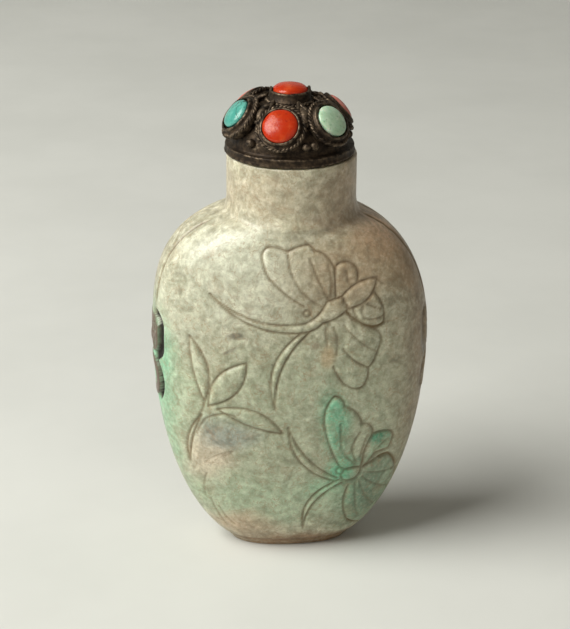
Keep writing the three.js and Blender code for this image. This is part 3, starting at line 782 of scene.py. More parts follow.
JADE_PALE = (0.47, 0.455, 0.32, 1)
JADE_CLOUD = (0.35, 0.34, 0.235, 1)
JADE_WHITE = (0.66, 0.65, 0.50, 1)
JADE_DARK_FLECK = (0.23, 0.205, 0.13, 1)
STAIN_BROWN = (0.33, 0.22, 0.12, 1)
CUT_DIRT_AND_SHADE = (0.22, 0.14, 0.07, 1)
DIRT_AND_SHADE_FACTOR = (0.52, 0.47, 0.38, 1)
BROWN_SKIN = (0.12, 0.085, 0.06, 1)
# Nearly black: dirt and painted shadow in the handle's recesses and band lines.
RECESS_DIRT_AND_SHADOW = (0.012, 0.009, 0.006, 1)
WING_GREEN = (0.15, 0.40, 0.245, 1)
# Middle, half sizes, colour and strength of each zone, laid over each other in this order. Most give the
#  stone's own colour; those named painted highlight, painted light, painted shade or painted dark
#  reflection put light and shade into the colour.
JADE_ZONES = {
    "greenish body": ((0.0, -10.0, 22.0), (26.0, 16.0, 19.0), (0.35, 0.42, 0.28, 1), 0.6),
    # Painted highlight: the window's reflection below the left shoulder.
    "painted highlight below left shoulder": ((-6.8, -10.0, 45.5), (9.0, 9.0, 9.0), (0.64, 0.66, 0.52, 1), 0.6),
    "soft left side": ((-16.0, -6.0, 41.0), (6.0, 9.0, 10.0), (0.42, 0.45, 0.34, 1), 0.5),
    "green left edge": ((-21.8, -2.0, 29.5), (5.8, 12.0, 11.5), (0.17, 0.46, 0.28, 1), 0.95),
    "green beside left edge": ((-17.5, -6.0, 26.0), (4.8, 8.0, 9.0), (0.36, 0.46, 0.30, 1), 0.35),
    "green above foot": ((-3.0, -9.0, 9.5), (17.0, 9.0, 5.5), (0.37, 0.48, 0.32, 1), 0.7),
    "green low on left edge": ((-20.2, -4.0, 16.5), (4.4, 8.0, 8.0), (0.24, 0.46, 0.28, 1), 0.65),
    "green left of foot": ((-16.0, -6.0, 9.0), (4.0, 8.0, 5.0), (0.33, 0.45, 0.285, 1), 0.6),
    "cream patch": ((-13.0, -9.0, 17.6), (5.2, 7.0, 4.8), (0.575, 0.495, 0.37, 1), 0.8),
    "grey patch": ((-10.2, -9.0, 21.6), (5.4, 6.0, 3.4), (0.24, 0.27, 0.24, 1), 0.75),
    "brown left of foot": ((-9.0, -9.0, 4.0), (8.0, 8.0, 3.6), (0.48, 0.34, 0.22, 1), 0.72),
    # Painted highlight: the window's reflection on the left shoulder.
    "painted highlight on left shoulder": ((-11.0, -8.0, 50.0), (9.0, 8.0, 5.0), (0.60, 0.63, 0.50, 1), 0.45),
    # Tan tone and painted light: the top of the right shoulder brightened as if it caught light from above.
    "tan and painted light on right shoulder": ((13.0, -4.0, 50.8), (6.0, 9.0, 4.2), (0.74, 0.52, 0.34, 1), 0.85),
    "brown below right shoulder": ((9.5, -8.0, 47.0), (8.5, 7.0, 6.5), (0.36, 0.24, 0.13, 1), 0.6),
    "brown over upper butterfly": ((4.0, -8.0, 46.0), (9.0, 8.0, 8.0), (0.40, 0.31, 0.20, 1), 0.4),
    "brown right shoulder edge": ((17.0, -3.0, 46.5), (4.5, 8.0, 5.5), (0.40, 0.255, 0.14, 1), 0.6),
    # Brown tone and painted shade: the whole right side darkened as if it lay in shade.
    "brown and painted shade on right side": ((20.0, 0.0, 33.0), (9.5, 12.0, 23.0), (0.26, 0.183, 0.112, 1), 0.84),
    "orange fleck": ((4.7, -11.0, 34.1), (1.5, 5.0, 2.4), (0.48, 0.32, 0.16, 1), 0.55),
    "dark fleck": ((2.7, -11.0, 36.2), (1.0, 4.0, 0.7), (0.20, 0.14, 0.08, 1), 0.55),
    "tan neck": ((0.0, 0.0, 57.5), (16.0, 14.0, 6.0), (0.43, 0.35, 0.24, 1), 0.6),
    # Brown tone and painted shade: the right of the neck darkened as if in shade.
    "brown and painted shade right of neck": ((8.5, 0.0, 57.5), (7.0, 14.0, 7.0), (0.32, 0.22, 0.14, 1), 0.6),
    # Painted shade: the crease where neck meets body darkened on its right, shaded side.
    "painted shade in neck crease": ((7.0, -7.0, 54.2), (8.0, 8.0, 1.6), (0.27, 0.20, 0.13, 1), 0.6),
    "brown foot": ((1.0, -5.0, 0.6), (14.0, 9.0, 2.2), (0.26, 0.155, 0.08, 1), 0.9),
    "green tall wing": ((5.2, -10.0, 24.0), (2.6, 6.0, 6.0), (0.18, 0.42, 0.26, 1), 0.85),
    "green in lower wing": ((8.5, -10.0, 8.5), (3.6, 6.0, 4.8), (0.18, 0.33, 0.20, 1), 0.6),
    "green right of foot": ((9.5, -8.0, 4.6), (5.0, 7.0, 3.4), (0.19, 0.27, 0.17, 1), 0.55),
    "green round body": ((6.9, -10.0, 14.5), (2.9, 5.0, 3.6), (0.13, 0.44, 0.26, 1), 0.9),
    "green below body": ((4.4, -10.0, 11.6), (3.0, 5.0, 2.6), (0.20, 0.44, 0.27, 1), 0.5),
    "dark green small wing": ((12.9, -9.0, 19.2), (1.8, 5.0, 1.6), (0.03, 0.20, 0.11, 1), 0.95),
    "upper speck": ((-8.8, -11.0, 37.4), (1.0, 4.0, 0.5), (0.12, 0.10, 0.07, 1), 0.7),
    "lower speck": ((-9.3, -11.0, 35.7), (1.3, 4.0, 0.45), (0.13, 0.11, 0.08, 1), 0.6),
    "speck by leaves": ((-12.6, -11.0, 21.9), (1.2, 4.0, 0.5), (0.12, 0.12, 0.10, 1), 0.6),
    # Dark green tone and painted shade: the lower right wing darkened as if in shade.
    "dark green and painted shade on lower wing": ((12.2, -9.0, 9.5), (5.0, 7.0, 7.0), (0.11, 0.15, 0.092, 1), 0.78),
    # Painted dark reflection: the stone darkened along the rims, towards the back.
    "painted dark reflection on left rim": ((-21.0, 3.5, 42.0), (3.2, 6.0, 9.0), (0.22, 0.21, 0.155, 1), 0.65),
    "painted dark reflection low on left rim": ((-20.0, 4.0, 21.0), (3.4, 6.0, 9.0), (0.14, 0.23, 0.15, 1), 0.65),
    "painted dark reflection on right rim": ((19.5, 3.5, 43.5), (3.4, 6.0, 8.0), (0.17, 0.12, 0.075, 1), 0.65),
}


def felt(tree, colour, other, where, grains, low, high, strength):
    """Mixes another colour into this one over clouds of the given grain; gives back colour and clouds."""
    mask = cloud_mask(tree, where, grains, low, high)
    return mix_colour(tree, product(tree, mask, strength), colour, other), mask


def darker(tree, colour, factor, share):
    """The colour multiplied by a factor, over a share of the surface."""
    mix = add_node(tree, "ShaderNodeMix", {"data_type": "RGBA", "blend_type": "MULTIPLY"},
                   {0: share, 6: colour, 7: factor})
    return mix.outputs[2]


def mottled(tree, colour, where, grains, low, high, light, dark):
    """The colour times a light factor, giving way to a dark one over clouds of the given grain."""
    mask = cloud_mask(tree, where, grains, low, high)
    return darker(tree, colour, mix_colour(tree, mask, light, dark), 1.0)


jade, tree, shader = new_material(
    "jade", Subsurface_Weight=0.3, Subsurface_Scale=0.0014, Subsurface_Radius=(1.0, 1.0, 0.8),
    Coat_Weight=0.1, Coat_Roughness=0.16)
place = place_in_mm(tree)
# A slow noise shifts the place by up to two and a half millimetres, so that the zones have ragged edges.
drift = add_node(tree, "ShaderNodeTexNoise", None, {"Vector": place, "Scale": 0.16, "Detail": 3.0})
drifted = add_node(tree, "ShaderNodeVectorMath", {"operation": "MULTIPLY_ADD"},
                   {0: drift.outputs["Color"], 1: (5.0, 5.0, 5.0), 2: place})
centred = add_node(tree, "ShaderNodeVectorMath", {"operation": "SUBTRACT"},
                   {0: drifted.outputs[0], 1: (2.5, 2.5, 2.5)}).outputs[0]
colour = mix_colour(tree, cloud_mask(tree, place, 0.3, 0.36, 0.62), JADE_PALE, JADE_CLOUD)
colour, pale_mask = felt(tree, colour, JADE_WHITE, place, 0.7, 0.42, 0.68, 0.75)
colour, _ = felt(tree, colour, JADE_DARK_FLECK, centred, 0.9, 0.42, 0.7, 0.65)
for middle, half, zone_colour, strength in JADE_ZONES.values():
    tinted = place_group(tree, zone, {
        "Colour": colour, "Place": centred, "Middle": middle, "Half sizes": half,
        "Zone colour": zone_colour, "Strength": strength})
    colour = tinted.outputs[0]
green = attribute_of(tree, "green")
colour = mix_colour(tree, product(tree, green, 0.6), colour, WING_GREEN)
colour, _ = felt(tree, colour, JADE_WHITE, place, 1.8, 0.4, 0.8, 0.3)
colour, _ = felt(tree, colour, STAIN_BROWN, centred, 0.4, 0.54, 0.7, 0.25)
colour = mottled(tree, colour, centred, 0.55, 0.4, 0.66, (1.14, 1.14, 1.16, 1), (0.82, 0.81, 0.79, 1))
colour = mottled(tree, colour, place, 1.3, 0.34, 0.74, (1.12, 1.12, 1.14, 1), (0.85, 0.84, 0.83, 1))
colour = mottled(tree, colour, place, 4.5, 0.34, 0.74, (1.05, 1.05, 1.06, 1), (0.93, 0.93, 0.92, 1))
for bends, width, strength in ((0.35, 0.012, 0.5), (0.9, 0.02, 0.35)):
    hair = place_group(tree, hairs, {"Place": centred, "Bends per mm": bends, "Width": width})
    colour = mix_colour(tree, product(tree, hair.outputs[0], strength), colour, STAIN_BROWN)
colour = mix_colour(tree, attribute_of(tree, "skin"), colour, BROWN_SKIN)
# Dirt clings unevenly in the cuts: it darkens the stone, and browns it where it isn't green. On the
#  narrow sides the same darkening also paints shade in the handle's recesses and along the band lines.
cut_here = attribute_of(tree, "cut")
dirt_and_shade_left = mapped(tree, noise(tree, place, 0.5, 3.0), (0.3, 0.7), (0.5, 0.95))
dirt_and_shade = product(tree, cut_here, dirt_and_shade_left, True)
colour = darker(tree, colour, DIRT_AND_SHADE_FACTOR, dirt_and_shade)
brown_share = product(tree, dirt_and_shade, mapped(tree, green, (0.0, 1.0), (0.5, 0.0)))
colour = mix_colour(tree, brown_share, colour, CUT_DIRT_AND_SHADE)
# Painted shadow, with some dirt: the handle's recesses and the band lines go nearly black.
colour = mix_colour(tree, attribute_of(tree, "shadow"), colour, RECESS_DIRT_AND_SHADOW)
tree.links.new(colour, shader.inputs["Base Color"])
# The white felt is softer and takes less polish; the cuts take none.
dull = add_node(tree, "ShaderNodeMath", {"operation": "MAXIMUM"}, {
    0: mapped(tree, pale_mask, (0.0, 1.0), (0.36, 0.54)), 1: product(tree, cut_here, 0.75)})
tree.links.new(dull.outputs[0], shader.inputs["Roughness"])
bumps(tree, shader, noise(tree, place, 2.6, 5.0, 0.7), 0.3, 0.0002)

bottle = add_piece("bottle_skin", [shell(bottle_rows)], jade, "bottle")


def over_whole_skin(values):
    """Pads the values known on the wall with zeros for the other rings and the two end points."""
    wall = values.reshape(len(ROWS), -1)[above_foot]
    before = len(foot_rows) + len(foot_edge)
    after = len(bottle_rows) - before - len(wall)
    padded = np.pad(wall, ((before, after), (0, 0))).ravel()
    return np.append(padded, [0, 0])


for label, values in (("cut", cut), ("green", green_wing * figure), ("skin", skin), ("shadow", shadow)):
    set_attribute(bottle, label, over_whole_skin(values))

# ---------------------------------------------------------------------------------------------------
# The cork under the cap: a plug of natural cork glued to the cap's underside, which closes the mouth.
# It keeps the solid's own shape.
# ---------------------------------------------------------------------------------------------------
cork, tree, shader = new_material("cork", Roughness=0.9)
place = place_in_mm(tree)
pores = cloud_mask(tree, place, 1.6, 0.52, 0.66)
rings = add_node(tree, "ShaderNodeTexWave", {"bands_direction": "Z"},
                 {"Vector": place, "Scale": 0.35, "Distortion": 3.0, "Detail": 3.0})
colour = mix_colour(tree, rings.outputs["Fac"], (0.40, 0.24, 0.12, 1), (0.50, 0.32, 0.17, 1))
colour = mix_colour(tree, pores, colour, (0.12, 0.06, 0.03, 1))
tree.links.new(colour, shader.inputs["Base Color"])
bumps(tree, shader, pores, 0.8, 0.0002, invert=True)
for cork_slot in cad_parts["stopper_cork"].material_slots:
    cork_slot.material = cork

# ---------------------------------------------------------------------------------------------------
# The cap: a dome of sheet silver on an upright band, closed underneath by a plate, all blackened by
# tarnish that handling has rubbed back on the high places.
# ---------------------------------------------------------------------------------------------------
CAP_LOW = np.array(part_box("stopper_cap")[0]) / MM
CORK_LOW, CORK_HIGH = (np.array(corner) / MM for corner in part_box("stopper_cork"))
CAP_AXIS = np.array([(CORK_LOW[0] + CORK_HIGH[0]) / 2, (CORK_LOW[1] + CORK_HIGH[1]) / 2, CAP_LOW[2]])
BAND_RADIUS = 9.5
BAND_HEIGHT = 1.4
DOME_RADIUS = 8.5
DOME_RISE = 6.6
PLATE_HEIGHT = 0.4
PIN_RADIUS = 0.05
DENT_WAVES = 8
DENTS_PER_MM = 1.6


def turned(profile, around):
    """Rings of a profile of [radius, height] round the axis: x = r cos(t), y = r sin(t)."""
    profile = np.array(profile, float)
    turn = np.linspace(0, 2 * np.pi, around, endpoint=False)
    rows = [profile[:, :1] * np.cos(turn), profile[:, :1] * np.sin(turn), profile[:, 1:] + 0 * turn]
    return np.stack(rows, axis=-1)


def arc(middle, radius, start, end, count):
    """Places along a circular arc in a profile, angles in degrees from the outward direction."""
    turn = np.radians(np.linspace(start, end, count))
    return [[middle[0] + radius * np.cos(a), middle[1] + radius * np.sin(a)] for a in turn]


def dented(rows, depth, seed):
    """Moves rings along their normals by a third of the sum of sin(w . p + a) over a few waves w."""
    draw = np.random.default_rng(seed)
    height = np.zeros(rows.shape[:2])
    for _ in range(DENT_WAVES):
        wave = draw.normal(0, DENTS_PER_MM, 3)
        height += np.sin(rows @ wave + draw.uniform(0, 6.3))
    return raise_surface(rows, depth * height / 3)


def moved(skin, matrix):
    """A closed skin put in its place by a 4 by 4 matrix."""
    points, faces = skin
    return points @ matrix[:3, :3].T + matrix[:3, 3], faces


# Tarnish: a dark film, thinner in patches, and bare metal where edges in those patches are rubbed.
worn, group_in, group_out = new_group(
    "Tarnish",
    [("Place", "Vector", None), ("Rubbed", "Float", 0.5)],
    [("Colour", "Color"), ("Roughness", "Float"), ("Height", "Float")])
geometry = add_node(worn, "ShaderNodeNewGeometry")
edges = mapped(worn, geometry.outputs["Pointiness"], (0.5, 0.58), curve="SMOOTHSTEP")
blotch = noise(worn, group_in.outputs["Place"], 1.3, 5.0, 0.65)
patch = mapped(worn, blotch, (0.38, 0.68), curve="SMOOTHSTEP")
rubbed = product(worn, product(worn, edges, patch), group_in.outputs["Rubbed"], True)
film = mix_colour(worn, patch, (0.018, 0.0115, 0.007, 1), (0.070, 0.047, 0.028, 1))
metal = mix_colour(worn, rubbed, film, (0.27, 0.205, 0.14, 1))
worn.links.new(metal, group_out.inputs["Colour"])
worn.links.new(mapped(worn, rubbed, (0.0, 1.0), (0.55, 0.3)), group_out.inputs["Roughness"])
worn.links.new(blotch, group_out.inputs["Height"])


def silver_material(name, rubbed_share):
    """Tarnished silver, rubbed back by the given share."""
    material, tree, shader = new_material(name, Metallic=0.75)
    finish = place_group(tree, worn, {"Place": place_in_mm(tree), "Rubbed": rubbed_share})
    tree.links.new(finish.outputs["Colour"], shader.inputs["Base Color"])
    tree.links.new(finish.outputs["Roughness"], shader.inputs["Roughness"])
    bumps(tree, shader, finish.outputs["Height"], 0.5, 0.00015)
    return material


cap_silver = silver_material("cap_silver", 0.7)
wire_silver = silver_material("wire_silver", 0.5)

cap_profile = [[PIN_RADIUS, PLATE_HEIGHT], [MOUTH_RADIUS, PLATE_HEIGHT], [MOUTH_RADIUS, 0.0],
               [MOUTH_RADIUS + 0.3, 0.0], [7.0, 0.0], [BAND_RADIUS - 0.35, 0.0]]
cap_profile += arc([BAND_RADIUS - 0.3, 0.3], 0.3, -60, 40, 4)
cap_profile += [[BAND_RADIUS - 0.1, 0.7], [BAND_RADIUS - 0.12, 1.05]]
cap_profile += arc([BAND_RADIUS - 0.32, 1.12], 0.22, 0, 90, 4)
cap_profile += [[DOME_RADIUS + 0.12, BAND_HEIGHT - 0.02]]
lift = np.radians(np.linspace(2, 89.5, 36))
dome_profile = [DOME_RADIUS * np.cos(lift), BAND_HEIGHT + DOME_RISE * np.sin(lift)]
cap_profile += np.stack(dome_profile, axis=-1).tolist()
cap_rows = turned(cap_profile, 160)
# The underside is flat as far as its edge; the edge, the band and the dome are a little dented.
cap_rows[5:] = dented(cap_rows[5:], 0.035, 3)
cap_place = np.eye(4)
cap_place[:3, 3] = CAP_AXIS
add_piece("cap_shell", [moved(shell(cap_rows), cap_place)], cap_silver, "stopper_cap")

# ---------------------------------------------------------------------------------------------------
# The seven settings: each a cup of strip silver bent round its stone and rubbed over the edge, standing
# on a stepped base. Six lean out round the dome and a taller one stands on its crown.
# ---------------------------------------------------------------------------------------------------
SIDE_STONES = 6
FIRST_AZIMUTH = -16
STONE_TILT = 40
ROPE_RADIUS = 3.5
BEZEL_RADIUS = 3.0
BEZEL_HEIGHT = 0.75
BEZEL_WALL = 0.35
TOP_BEZEL_HEIGHT = 1.5
CLAW_HEIGHT = 0.45
# All side settings sit a little high on the dome, the top one low, and three stand out, by hand work.
SETTING_RAISE = 0.3
TOP_SINK = 0.45
PROUD_SETTINGS = {1: 0.25, 4: 0.45, 5: 0.7}


def setting_place(azimuth, tilt):
    """Matrix of a setting: z looks out of the dome at the tilt, x runs level round it.

    It stands where the dome's ellipse has that normal: tan(lift) = tan(tilt) * rise / radius.
    """
    turn, tilt = np.radians(azimuth), np.radians(tilt)
    lift = np.arctan(np.tan(tilt) * DOME_RISE / DOME_RADIUS)
    out = np.array([np.sin(turn), -np.cos(turn), 0])
    normal = out * np.cos(tilt) + np.array([0, 0, np.sin(tilt)])
    level = np.array([np.cos(turn), np.sin(turn), 0])
    matrix = np.eye(4)
    matrix[:3, :3] = np.stack([level, np.cross(normal, level), normal], axis=-1)
    height = BAND_HEIGHT + DOME_RISE * np.sin(lift)
    matrix[:3, 3] = CAP_AXIS + DOME_RADIUS * np.cos(lift) * out + [0, 0, height]
    return matrix


TOP_PLACE = np.eye(4)
TOP_PLACE[:3, 3] = CAP_AXIS + [0, 0, BAND_HEIGHT + DOME_RISE - TOP_SINK]
SETTING_PLACES = [setting_place(FIRST_AZIMUTH + 60 * i, STONE_TILT) for i in range(SIDE_STONES)]
for setting in SETTING_PLACES:
    setting[2, 3] += SETTING_RAISE
for proud_setting, proud in PROUD_SETTINGS.items():
    SETTING_PLACES[proud_setting][:3, 3] += proud * SETTING_PLACES[proud_setting][:3, 2]


def bezel_skin(height, seed, claw=0.0):
    """A cup: stepped base, upright wall whose lip leans in over the stone, and a floor inside.

    The lip is drawn up into two blunt claws, left and right, where a claw height is given.
    """
    profile = [[PIN_RADIUS, -1.25], [ROPE_RADIUS - 0.25, -1.25], [ROPE_RADIUS - 0.1, -0.4],
               [ROPE_RADIUS - 0.15, -0.12]]
    profile += arc([BEZEL_RADIUS + 0.12, 0.02], 0.17, -20, 100, 4)
    profile += [[BEZEL_RADIUS, 0.22], [BEZEL_RADIUS, height - 0.2], [BEZEL_RADIUS - 0.06, height - 0.04],
                [BEZEL_RADIUS - 0.2, height + 0.06], [BEZEL_RADIUS - 0.36, height + 0.05],
                [BEZEL_RADIUS - 0.42, height - 0.05], [BEZEL_RADIUS - BEZEL_WALL, height - 0.2],
                [BEZEL_RADIUS - BEZEL_WALL, height - 0.6], [PIN_RADIUS, height - 0.6]]
    rows = turned(profile, 72)
    # The wall and its lip are a little dented; the base below and the floor inside aren't.
    rows[3:-2] = dented(rows[3:-2], 0.03, seed)
    sideways = np.clip(np.abs(rows[..., 0]) / np.hypot(rows[..., 0], rows[..., 1]), 0, 1)
    lip = smooth_step((rows[..., 2] - height + 0.3) / 0.3) * (rows[..., 2] > height - 0.25)
    rows[..., 2] += claw * lip * smooth_step((sideways - 0.96) / 0.04)
    return shell(rows)


bezels = [moved(bezel_skin(BEZEL_HEIGHT, 10 + i), place) for i, place in enumerate(SETTING_PLACES)]
bezels.append(moved(bezel_skin(TOP_BEZEL_HEIGHT, 17, CLAW_HEIGHT), TOP_PLACE))
add_piece("bezels", bezels, cap_silver, "stopper_cap")

# ---------------------------------------------------------------------------------------------------
# Twisted wire round the root of each setting: two thin silver wires wound on each other, laid in a
# circle and soldered down.
# ---------------------------------------------------------------------------------------------------
STRAND_RADIUS = 0.22
STRAND_OFFSET = 0.12
STRAND_TWISTS = 18
TWIST_STEPS = 12


def tube(path, radius, sides, closed=False, up=None):
    """Rings round a path: each is its point plus r (cos(t) across + sin(t) rise), square to the path."""
    path = np.array(path, float)
    if closed:
        along = np.roll(path, -1, axis=0) - np.roll(path, 1, axis=0)
    else:
        along = np.gradient(path, axis=0)
    along /= np.linalg.norm(along, axis=1, keepdims=True)
    up = np.broadcast_to([0.0, 0.0, 1.0] if up is None else up, path.shape)
    across = np.cross(up, along)
    across /= np.linalg.norm(across, axis=1, keepdims=True)
    rise = np.cross(along, across)
    turn = np.linspace(0, 2 * np.pi, sides, endpoint=False)[None, :, None]
    radius = np.broadcast_to(radius, len(path))[:, None, None]
    return path[:, None] + radius * (np.cos(turn) * across[:, None] + np.sin(turn) * rise[:, None])


def hoop_skin(rows):
    """Points and quads of rings that close on themselves, as round a torus."""
    count, around = rows.shape[:2]
    index = np.arange(count * around).reshape(count, around)
    beside = np.roll(index, -1, axis=1)
    quads = np.stack([index, beside, np.roll(beside, -1, axis=0), np.roll(index, -1, axis=0)], axis=-1)
    return rows.reshape(-1, 3), quads.reshape(-1, 4).tolist()


def rope_ring(height):
    """Two strands, each a helix round a circle: radius R + o cos(n t), height h + o sin(n t)."""
    turn = np.linspace(0, 2 * np.pi, TWIST_STEPS * STRAND_TWISTS, endpoint=False)
    strands = []
    for start in (0, np.pi):
        roll = STRAND_TWISTS * turn + start
        reach = ROPE_RADIUS - 0.1 + STRAND_OFFSET * np.cos(roll)
        rise = height + STRAND_OFFSET * np.sin(roll)
        path = np.stack([reach * np.cos(turn), reach * np.sin(turn), rise], axis=-1)
        strands.append(hoop_skin(tube(path, STRAND_RADIUS, 6, closed=True)))
    return strands


ropes = [moved(strand, place) for place in SETTING_PLACES for strand in rope_ring(-0.1)]
ropes += [moved(strand, TOP_PLACE) for strand in rope_ring(0.0)]
add_piece("twisted_wires", ropes, wire_silver, "stopper_cap")

# ---------------------------------------------------------------------------------------------------
# Beads and wire leaves soldered into the gaps between the settings: shot in the lower gaps, one or two
# in turn, and a leaf of bent wire with a small flat leaf inside it in each upper gap.
# ---------------------------------------------------------------------------------------------------
BEAD_RADIUS = 0.7
BEAD_SQUEEZE = 0.92
BEAD_LIFT = 13
BEAD_PROUD = 0.25
# Turns off the middle of a gap, in degrees, for a pair of beads.
BEAD_PAIR = [-3.4, 4.4]
LEAF_LIFT = 52
LEAF_HALF_LENGTH = 15
LEAF_HALF_TURN = 13
LEAF_WIRE = 0.3
LEAF_WIRE_PROUD = 0.55
RIB_PROUD = 0.6
RIB_RADIUS = {"ends": 0.12, "swell": 0.62}
# The point under the dome that the leaves turn their backs to.
LEAF_CENTRE = CAP_AXIS + [0, 0, BAND_HEIGHT - 3]


def bead_skin():
    """A ball of shot, slightly flattened: radius r cos(t), height s r sin(t)."""
    lift = np.radians(np.linspace(-89, 89, 13))
    profile = [BEAD_RADIUS * np.cos(lift), BEAD_SQUEEZE * BEAD_RADIUS * np.sin(lift)]
    return shell(turned(np.stack(profile, axis=-1), 20))


def on_dome(azimuth, lift, proud):
    """A place on the dome at an azimuth and a lift in degrees, standing proud of it."""
    turn, lift = np.radians(azimuth), np.radians(lift)
    reach = (DOME_RADIUS + proud) * np.cos(lift)
    rise = BAND_HEIGHT + (DOME_RISE + proud) * np.sin(lift)
    return CAP_AXIS + np.stack([reach * np.sin(turn), -reach * np.cos(turn), rise], axis=-1)


def leaf_loop(gap):
    """A wire bent to a leaf round a gap: turn w sin(t) sin(t / 2) ** 1.2, lift l + h cos(t)."""
    t = np.linspace(0, 2 * np.pi, 40, endpoint=False)
    width = LEAF_HALF_TURN * np.sin(t) * np.sin(t / 2) ** 1.2
    loop = on_dome(gap + width, LEAF_LIFT + LEAF_HALF_LENGTH * np.cos(t), LEAF_WIRE_PROUD)
    return hoop_skin(tube(loop, LEAF_WIRE, 8, closed=True, up=loop - LEAF_CENTRE))


def leaf_rib(gap):
    """The flat leaf inside the loop: a rib that swells by sin(pi t ** 0.8) and runs up the gap."""
    t = np.linspace(0, 1, 14)
    rib = on_dome(gap + 0 * t, LEAF_LIFT - 14 + 22 * t, RIB_PROUD)
    radius = RIB_RADIUS["ends"] + RIB_RADIUS["swell"] * np.sin(np.pi * t ** 0.8)
    return shell(tube(rib, radius, 10, up=rib - LEAF_CENTRE))


beads, leaves = [], []
for i in range(SIDE_STONES):
    gap = FIRST_AZIMUTH + 60 * (i + 0.5)
    for side in ([0] if i % 2 else BEAD_PAIR):
        spot = np.eye(4)
        spot[:3, 3] = on_dome(gap + side, BEAD_LIFT, BEAD_PROUD)
        beads.append(moved(bead_skin(), spot))
    leaves += [leaf_loop(gap), leaf_rib(gap)]
add_piece("beads", beads, wire_silver, "stopper_cap")
add_piece("wire_leaves", leaves, wire_silver, "stopper_cap")

# ---------------------------------------------------------------------------------------------------
# The stones: seven cabochons ground from coral, turquoise and a pale green stone, flat underneath with
# a short girdle and a low dome, held by the lips of their settings.
# ---------------------------------------------------------------------------------------------------
STONE_RISE = 1.5
TOP_STONE_RISE = 2.5
TOP_STONE_RADIUS = 2.55
STONE_SEAT = 0.6
GIRDLE_HEIGHT = 0.45
SETTING_GAP = 0.1


def cabochon_skin(bezel_height, rise, seed, radius):
    """Flat floor, upright girdle and a dome: radius r cos(t) ** 0.9, height g + (rise - g) sin(t).

    The floor lies a hair above the seat in its cup, and the dome is a little uneven.
    """
    floor = bezel_height - STONE_SEAT + SETTING_GAP
    girdle = floor + GIRDLE_HEIGHT
    lift = np.radians(np.linspace(0, 89, 22))
    dome = [radius * np.cos(lift) ** 0.9, girdle + (rise - girdle) * np.sin(lift)]
    profile = [[PIN_RADIUS, floor], [radius - 0.15, floor], [radius, floor + 0.12]]
    profile += np.stack(dome, axis=-1).tolist()
    rows = turned(profile, 64)
    rows[4:] = dented(rows[4:], 0.02, seed)
    return shell(rows)


def stone_material(name, base, pale, dark, grains, crack=None, **plain):
    """A polished stone: its base colour with pale clouds, darker flecks and, where given, dark cracks."""
    material, tree, shader = new_material(name, **plain)
    place = place_in_mm(tree)
    colour = mix_colour(tree, cloud_mask(tree, place, grains, 0.45, 0.75), base, pale)
    colour = mix_colour(tree, cloud_mask(tree, place, grains * 2.7, 0.55, 0.75), colour, dark)
    if crack:
        lines = place_group(tree, hairs, {"Place": place, "Bends per mm": 0.28, "Width": 0.012})
        colour = mix_colour(tree, lines.outputs[0], colour, crack)
    tree.links.new(colour, shader.inputs["Base Color"])
    scratches = noise(tree, place, 4.0, 4.0)
    tree.links.new(mapped(tree, scratches, (0.0, 1.0), (0.1, 0.34)), shader.inputs["Roughness"])
    bumps(tree, shader, scratches, 0.2, 0.0001)
    return material


coral = stone_material(
    "coral", (0.42, 0.026, 0.004, 1), (0.52, 0.07, 0.018, 1), (0.28, 0.014, 0.004, 1), 0.6,
    Subsurface_Weight=0.15, Subsurface_Scale=0.0005, Specular_IOR_Level=0.3)
pale_coral = stone_material(
    "pale_coral", (0.56, 0.17, 0.13, 1), (0.62, 0.28, 0.22, 1), (0.42, 0.10, 0.07, 1), 0.7,
    Subsurface_Weight=0.15, Subsurface_Scale=0.0005)
green_stone = stone_material(
    "green_stone", (0.40, 0.58, 0.40, 1), (0.62, 0.72, 0.58, 1), (0.20, 0.33, 0.20, 1), 0.9,
    Subsurface_Weight=0.2, Subsurface_Scale=0.0006)
turquoise = stone_material(
    "turquoise", (0.06, 0.29, 0.24, 1), (0.13, 0.41, 0.34, 1), (0.03, 0.17, 0.14, 1), 0.6,
    crack=(0.02, 0.04, 0.035, 1))

# Solid that each side stone stands for, from the front round by the right, its material, slot and radius.
SIDE_STONE_NODES = [
    ("stone_front_coral", coral, "coral", 2.55),
    ("stone_right_green", green_stone, "green_stone", 2.4),
    ("stone_back_right_coral", pale_coral, "coral", 2.4),
    ("stone_back_turquoise", turquoise, "turquoise", 2.45),
    ("stone_back_left_coral", pale_coral, "coral", 2.55),
    ("stone_left_turquoise", turquoise, "turquoise", 2.3),
]
for i, (node, material, slot, radius) in enumerate(SIDE_STONE_NODES):
    side_stone = moved(cabochon_skin(BEZEL_HEIGHT, STONE_RISE, 30 + i, radius), SETTING_PLACES[i])
    add_piece(node + "_cut", [side_stone], material, node)
top_stone = moved(cabochon_skin(TOP_BEZEL_HEIGHT, TOP_STONE_RISE, 37, TOP_STONE_RADIUS), TOP_PLACE)
add_piece("stone_top_coral_cut", [top_stone], coral, "stone_top_coral")

# ---------------------------------------------------------------------------------------------------
# The studio: a pale table that sweeps up behind, a large soft light high on the left, a weak one on the
# right to fill, and a faint warm glow all round.
# ---------------------------------------------------------------------------------------------------
CAMERA_PLACE = (-0.0277, -0.2796, 0.1485)
CAMERA_YAW = np.radians(5.5)
CAMERA_PITCH = np.radians(21.76)
CAMERA_ROLL = np.radians(0.47)
CAMERA_LENS = 115.44
FLOOR_HALF_WIDTH = 1.6
SWEEP_STARTS = 0.5
SWEEP_RADIUS = 0.3


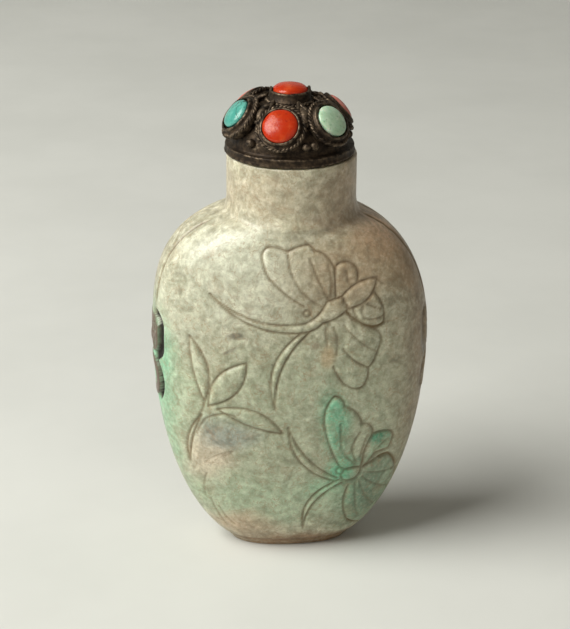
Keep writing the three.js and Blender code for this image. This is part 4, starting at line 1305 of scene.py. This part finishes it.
def swept_floor():
    """A level floor, a quarter circle y = s + r sin(t), z = r (1 - cos(t)) and an upright wall.

    The row where the curve starts is doubled, so that the level part is shaded flat.
    """
    turn = np.radians(np.linspace(0, 90, 16))
    sweep_y = SWEEP_STARTS + SWEEP_RADIUS * np.sin(turn)
    y = np.concatenate([[-1.2, SWEEP_STARTS], sweep_y, [SWEEP_STARTS + SWEEP_RADIUS]])
    z = np.concatenate([[0, 0], SWEEP_RADIUS * (1 - np.cos(turn)), [1.6]])
    x = np.array([-FLOOR_HALF_WIDTH, FLOOR_HALF_WIDTH])
    points = np.stack([np.tile(x, len(y)), np.repeat(y, 2), np.repeat(z, 2)], axis=-1)
    start = 2 * np.arange(len(y) - 1)
    quads = np.stack([start, start + 1, start + 3, start + 2], axis=-1)
    mesh = bpy.data.meshes.new("studio_floor")
    mesh.from_pydata(points, [], quads.tolist())
    mesh.polygons.foreach_set("use_smooth", np.ones(len(quads), bool))
    return bpy.data.objects.new("studio_floor", mesh)


def soft_light(name, place, target, size, watts, colour):
    """A square lamp at a place, turned to look at the target."""
    lamp = bpy.data.lights.new(name, "AREA")
    lamp.size = size
    lamp.energy = watts
    lamp.color = colour
    holder = bpy.data.objects.new(name, lamp)
    holder.location = place
    holder.rotation_euler = (Vector(target) - Vector(place)).to_track_quat("-Z", "Y").to_euler()
    bpy.context.scene.collection.objects.link(holder)


paper, tree, shader = new_material("paper", Roughness=0.9)
fibres = cloud_mask(tree, place_in_mm(tree), 0.02, 0.3, 0.7)
paper_colour = mix_colour(tree, fibres, (0.62, 0.63, 0.60, 1), (0.66, 0.67, 0.64, 1))
tree.links.new(paper_colour, shader.inputs["Base Color"])
floor = swept_floor()
floor.data.materials.append(paper)
bpy.context.scene.collection.objects.link(floor)

soft_light("window", (-0.49, -0.16, 0.52), (0, 0, 0.035), 0.5, 7.9, (1, 0.99, 0.94))
soft_light("fill", (0.35, -0.7, 0.35), (0, 0, 0.03), 0.6, 0.6, (1, 0.9, 0.75))
world = bpy.data.worlds.new("studio")
world.use_nodes = True
glow = world.node_tree.nodes["Background"]
glow.inputs["Color"].default_value = (1.0, 0.94, 0.84, 1)
glow.inputs["Strength"].default_value = 0.14
bpy.context.scene.world = world
bpy.context.scene.view_settings.view_transform = "Standard"

ahead = Vector((np.cos(CAMERA_PITCH) * np.sin(CAMERA_YAW), np.cos(CAMERA_PITCH) * np.cos(CAMERA_YAW),
                -np.sin(CAMERA_PITCH)))
level = Vector((np.cos(CAMERA_YAW), -np.sin(CAMERA_YAW), 0))
upright = level.cross(ahead)
right = np.cos(CAMERA_ROLL) * level + np.sin(CAMERA_ROLL) * upright
above = np.cos(CAMERA_ROLL) * upright - np.sin(CAMERA_ROLL) * level
camera = bpy.data.objects.new("camera", bpy.data.cameras.new("camera"))
camera.data.lens = CAMERA_LENS
camera.data.sensor_width = 36
camera.matrix_world = Matrix.Translation(CAMERA_PLACE) @ Matrix((right, above, -ahead)).transposed().to_4x4()
bpy.context.scene.collection.objects.link(camera)
bpy.context.scene.camera = camera
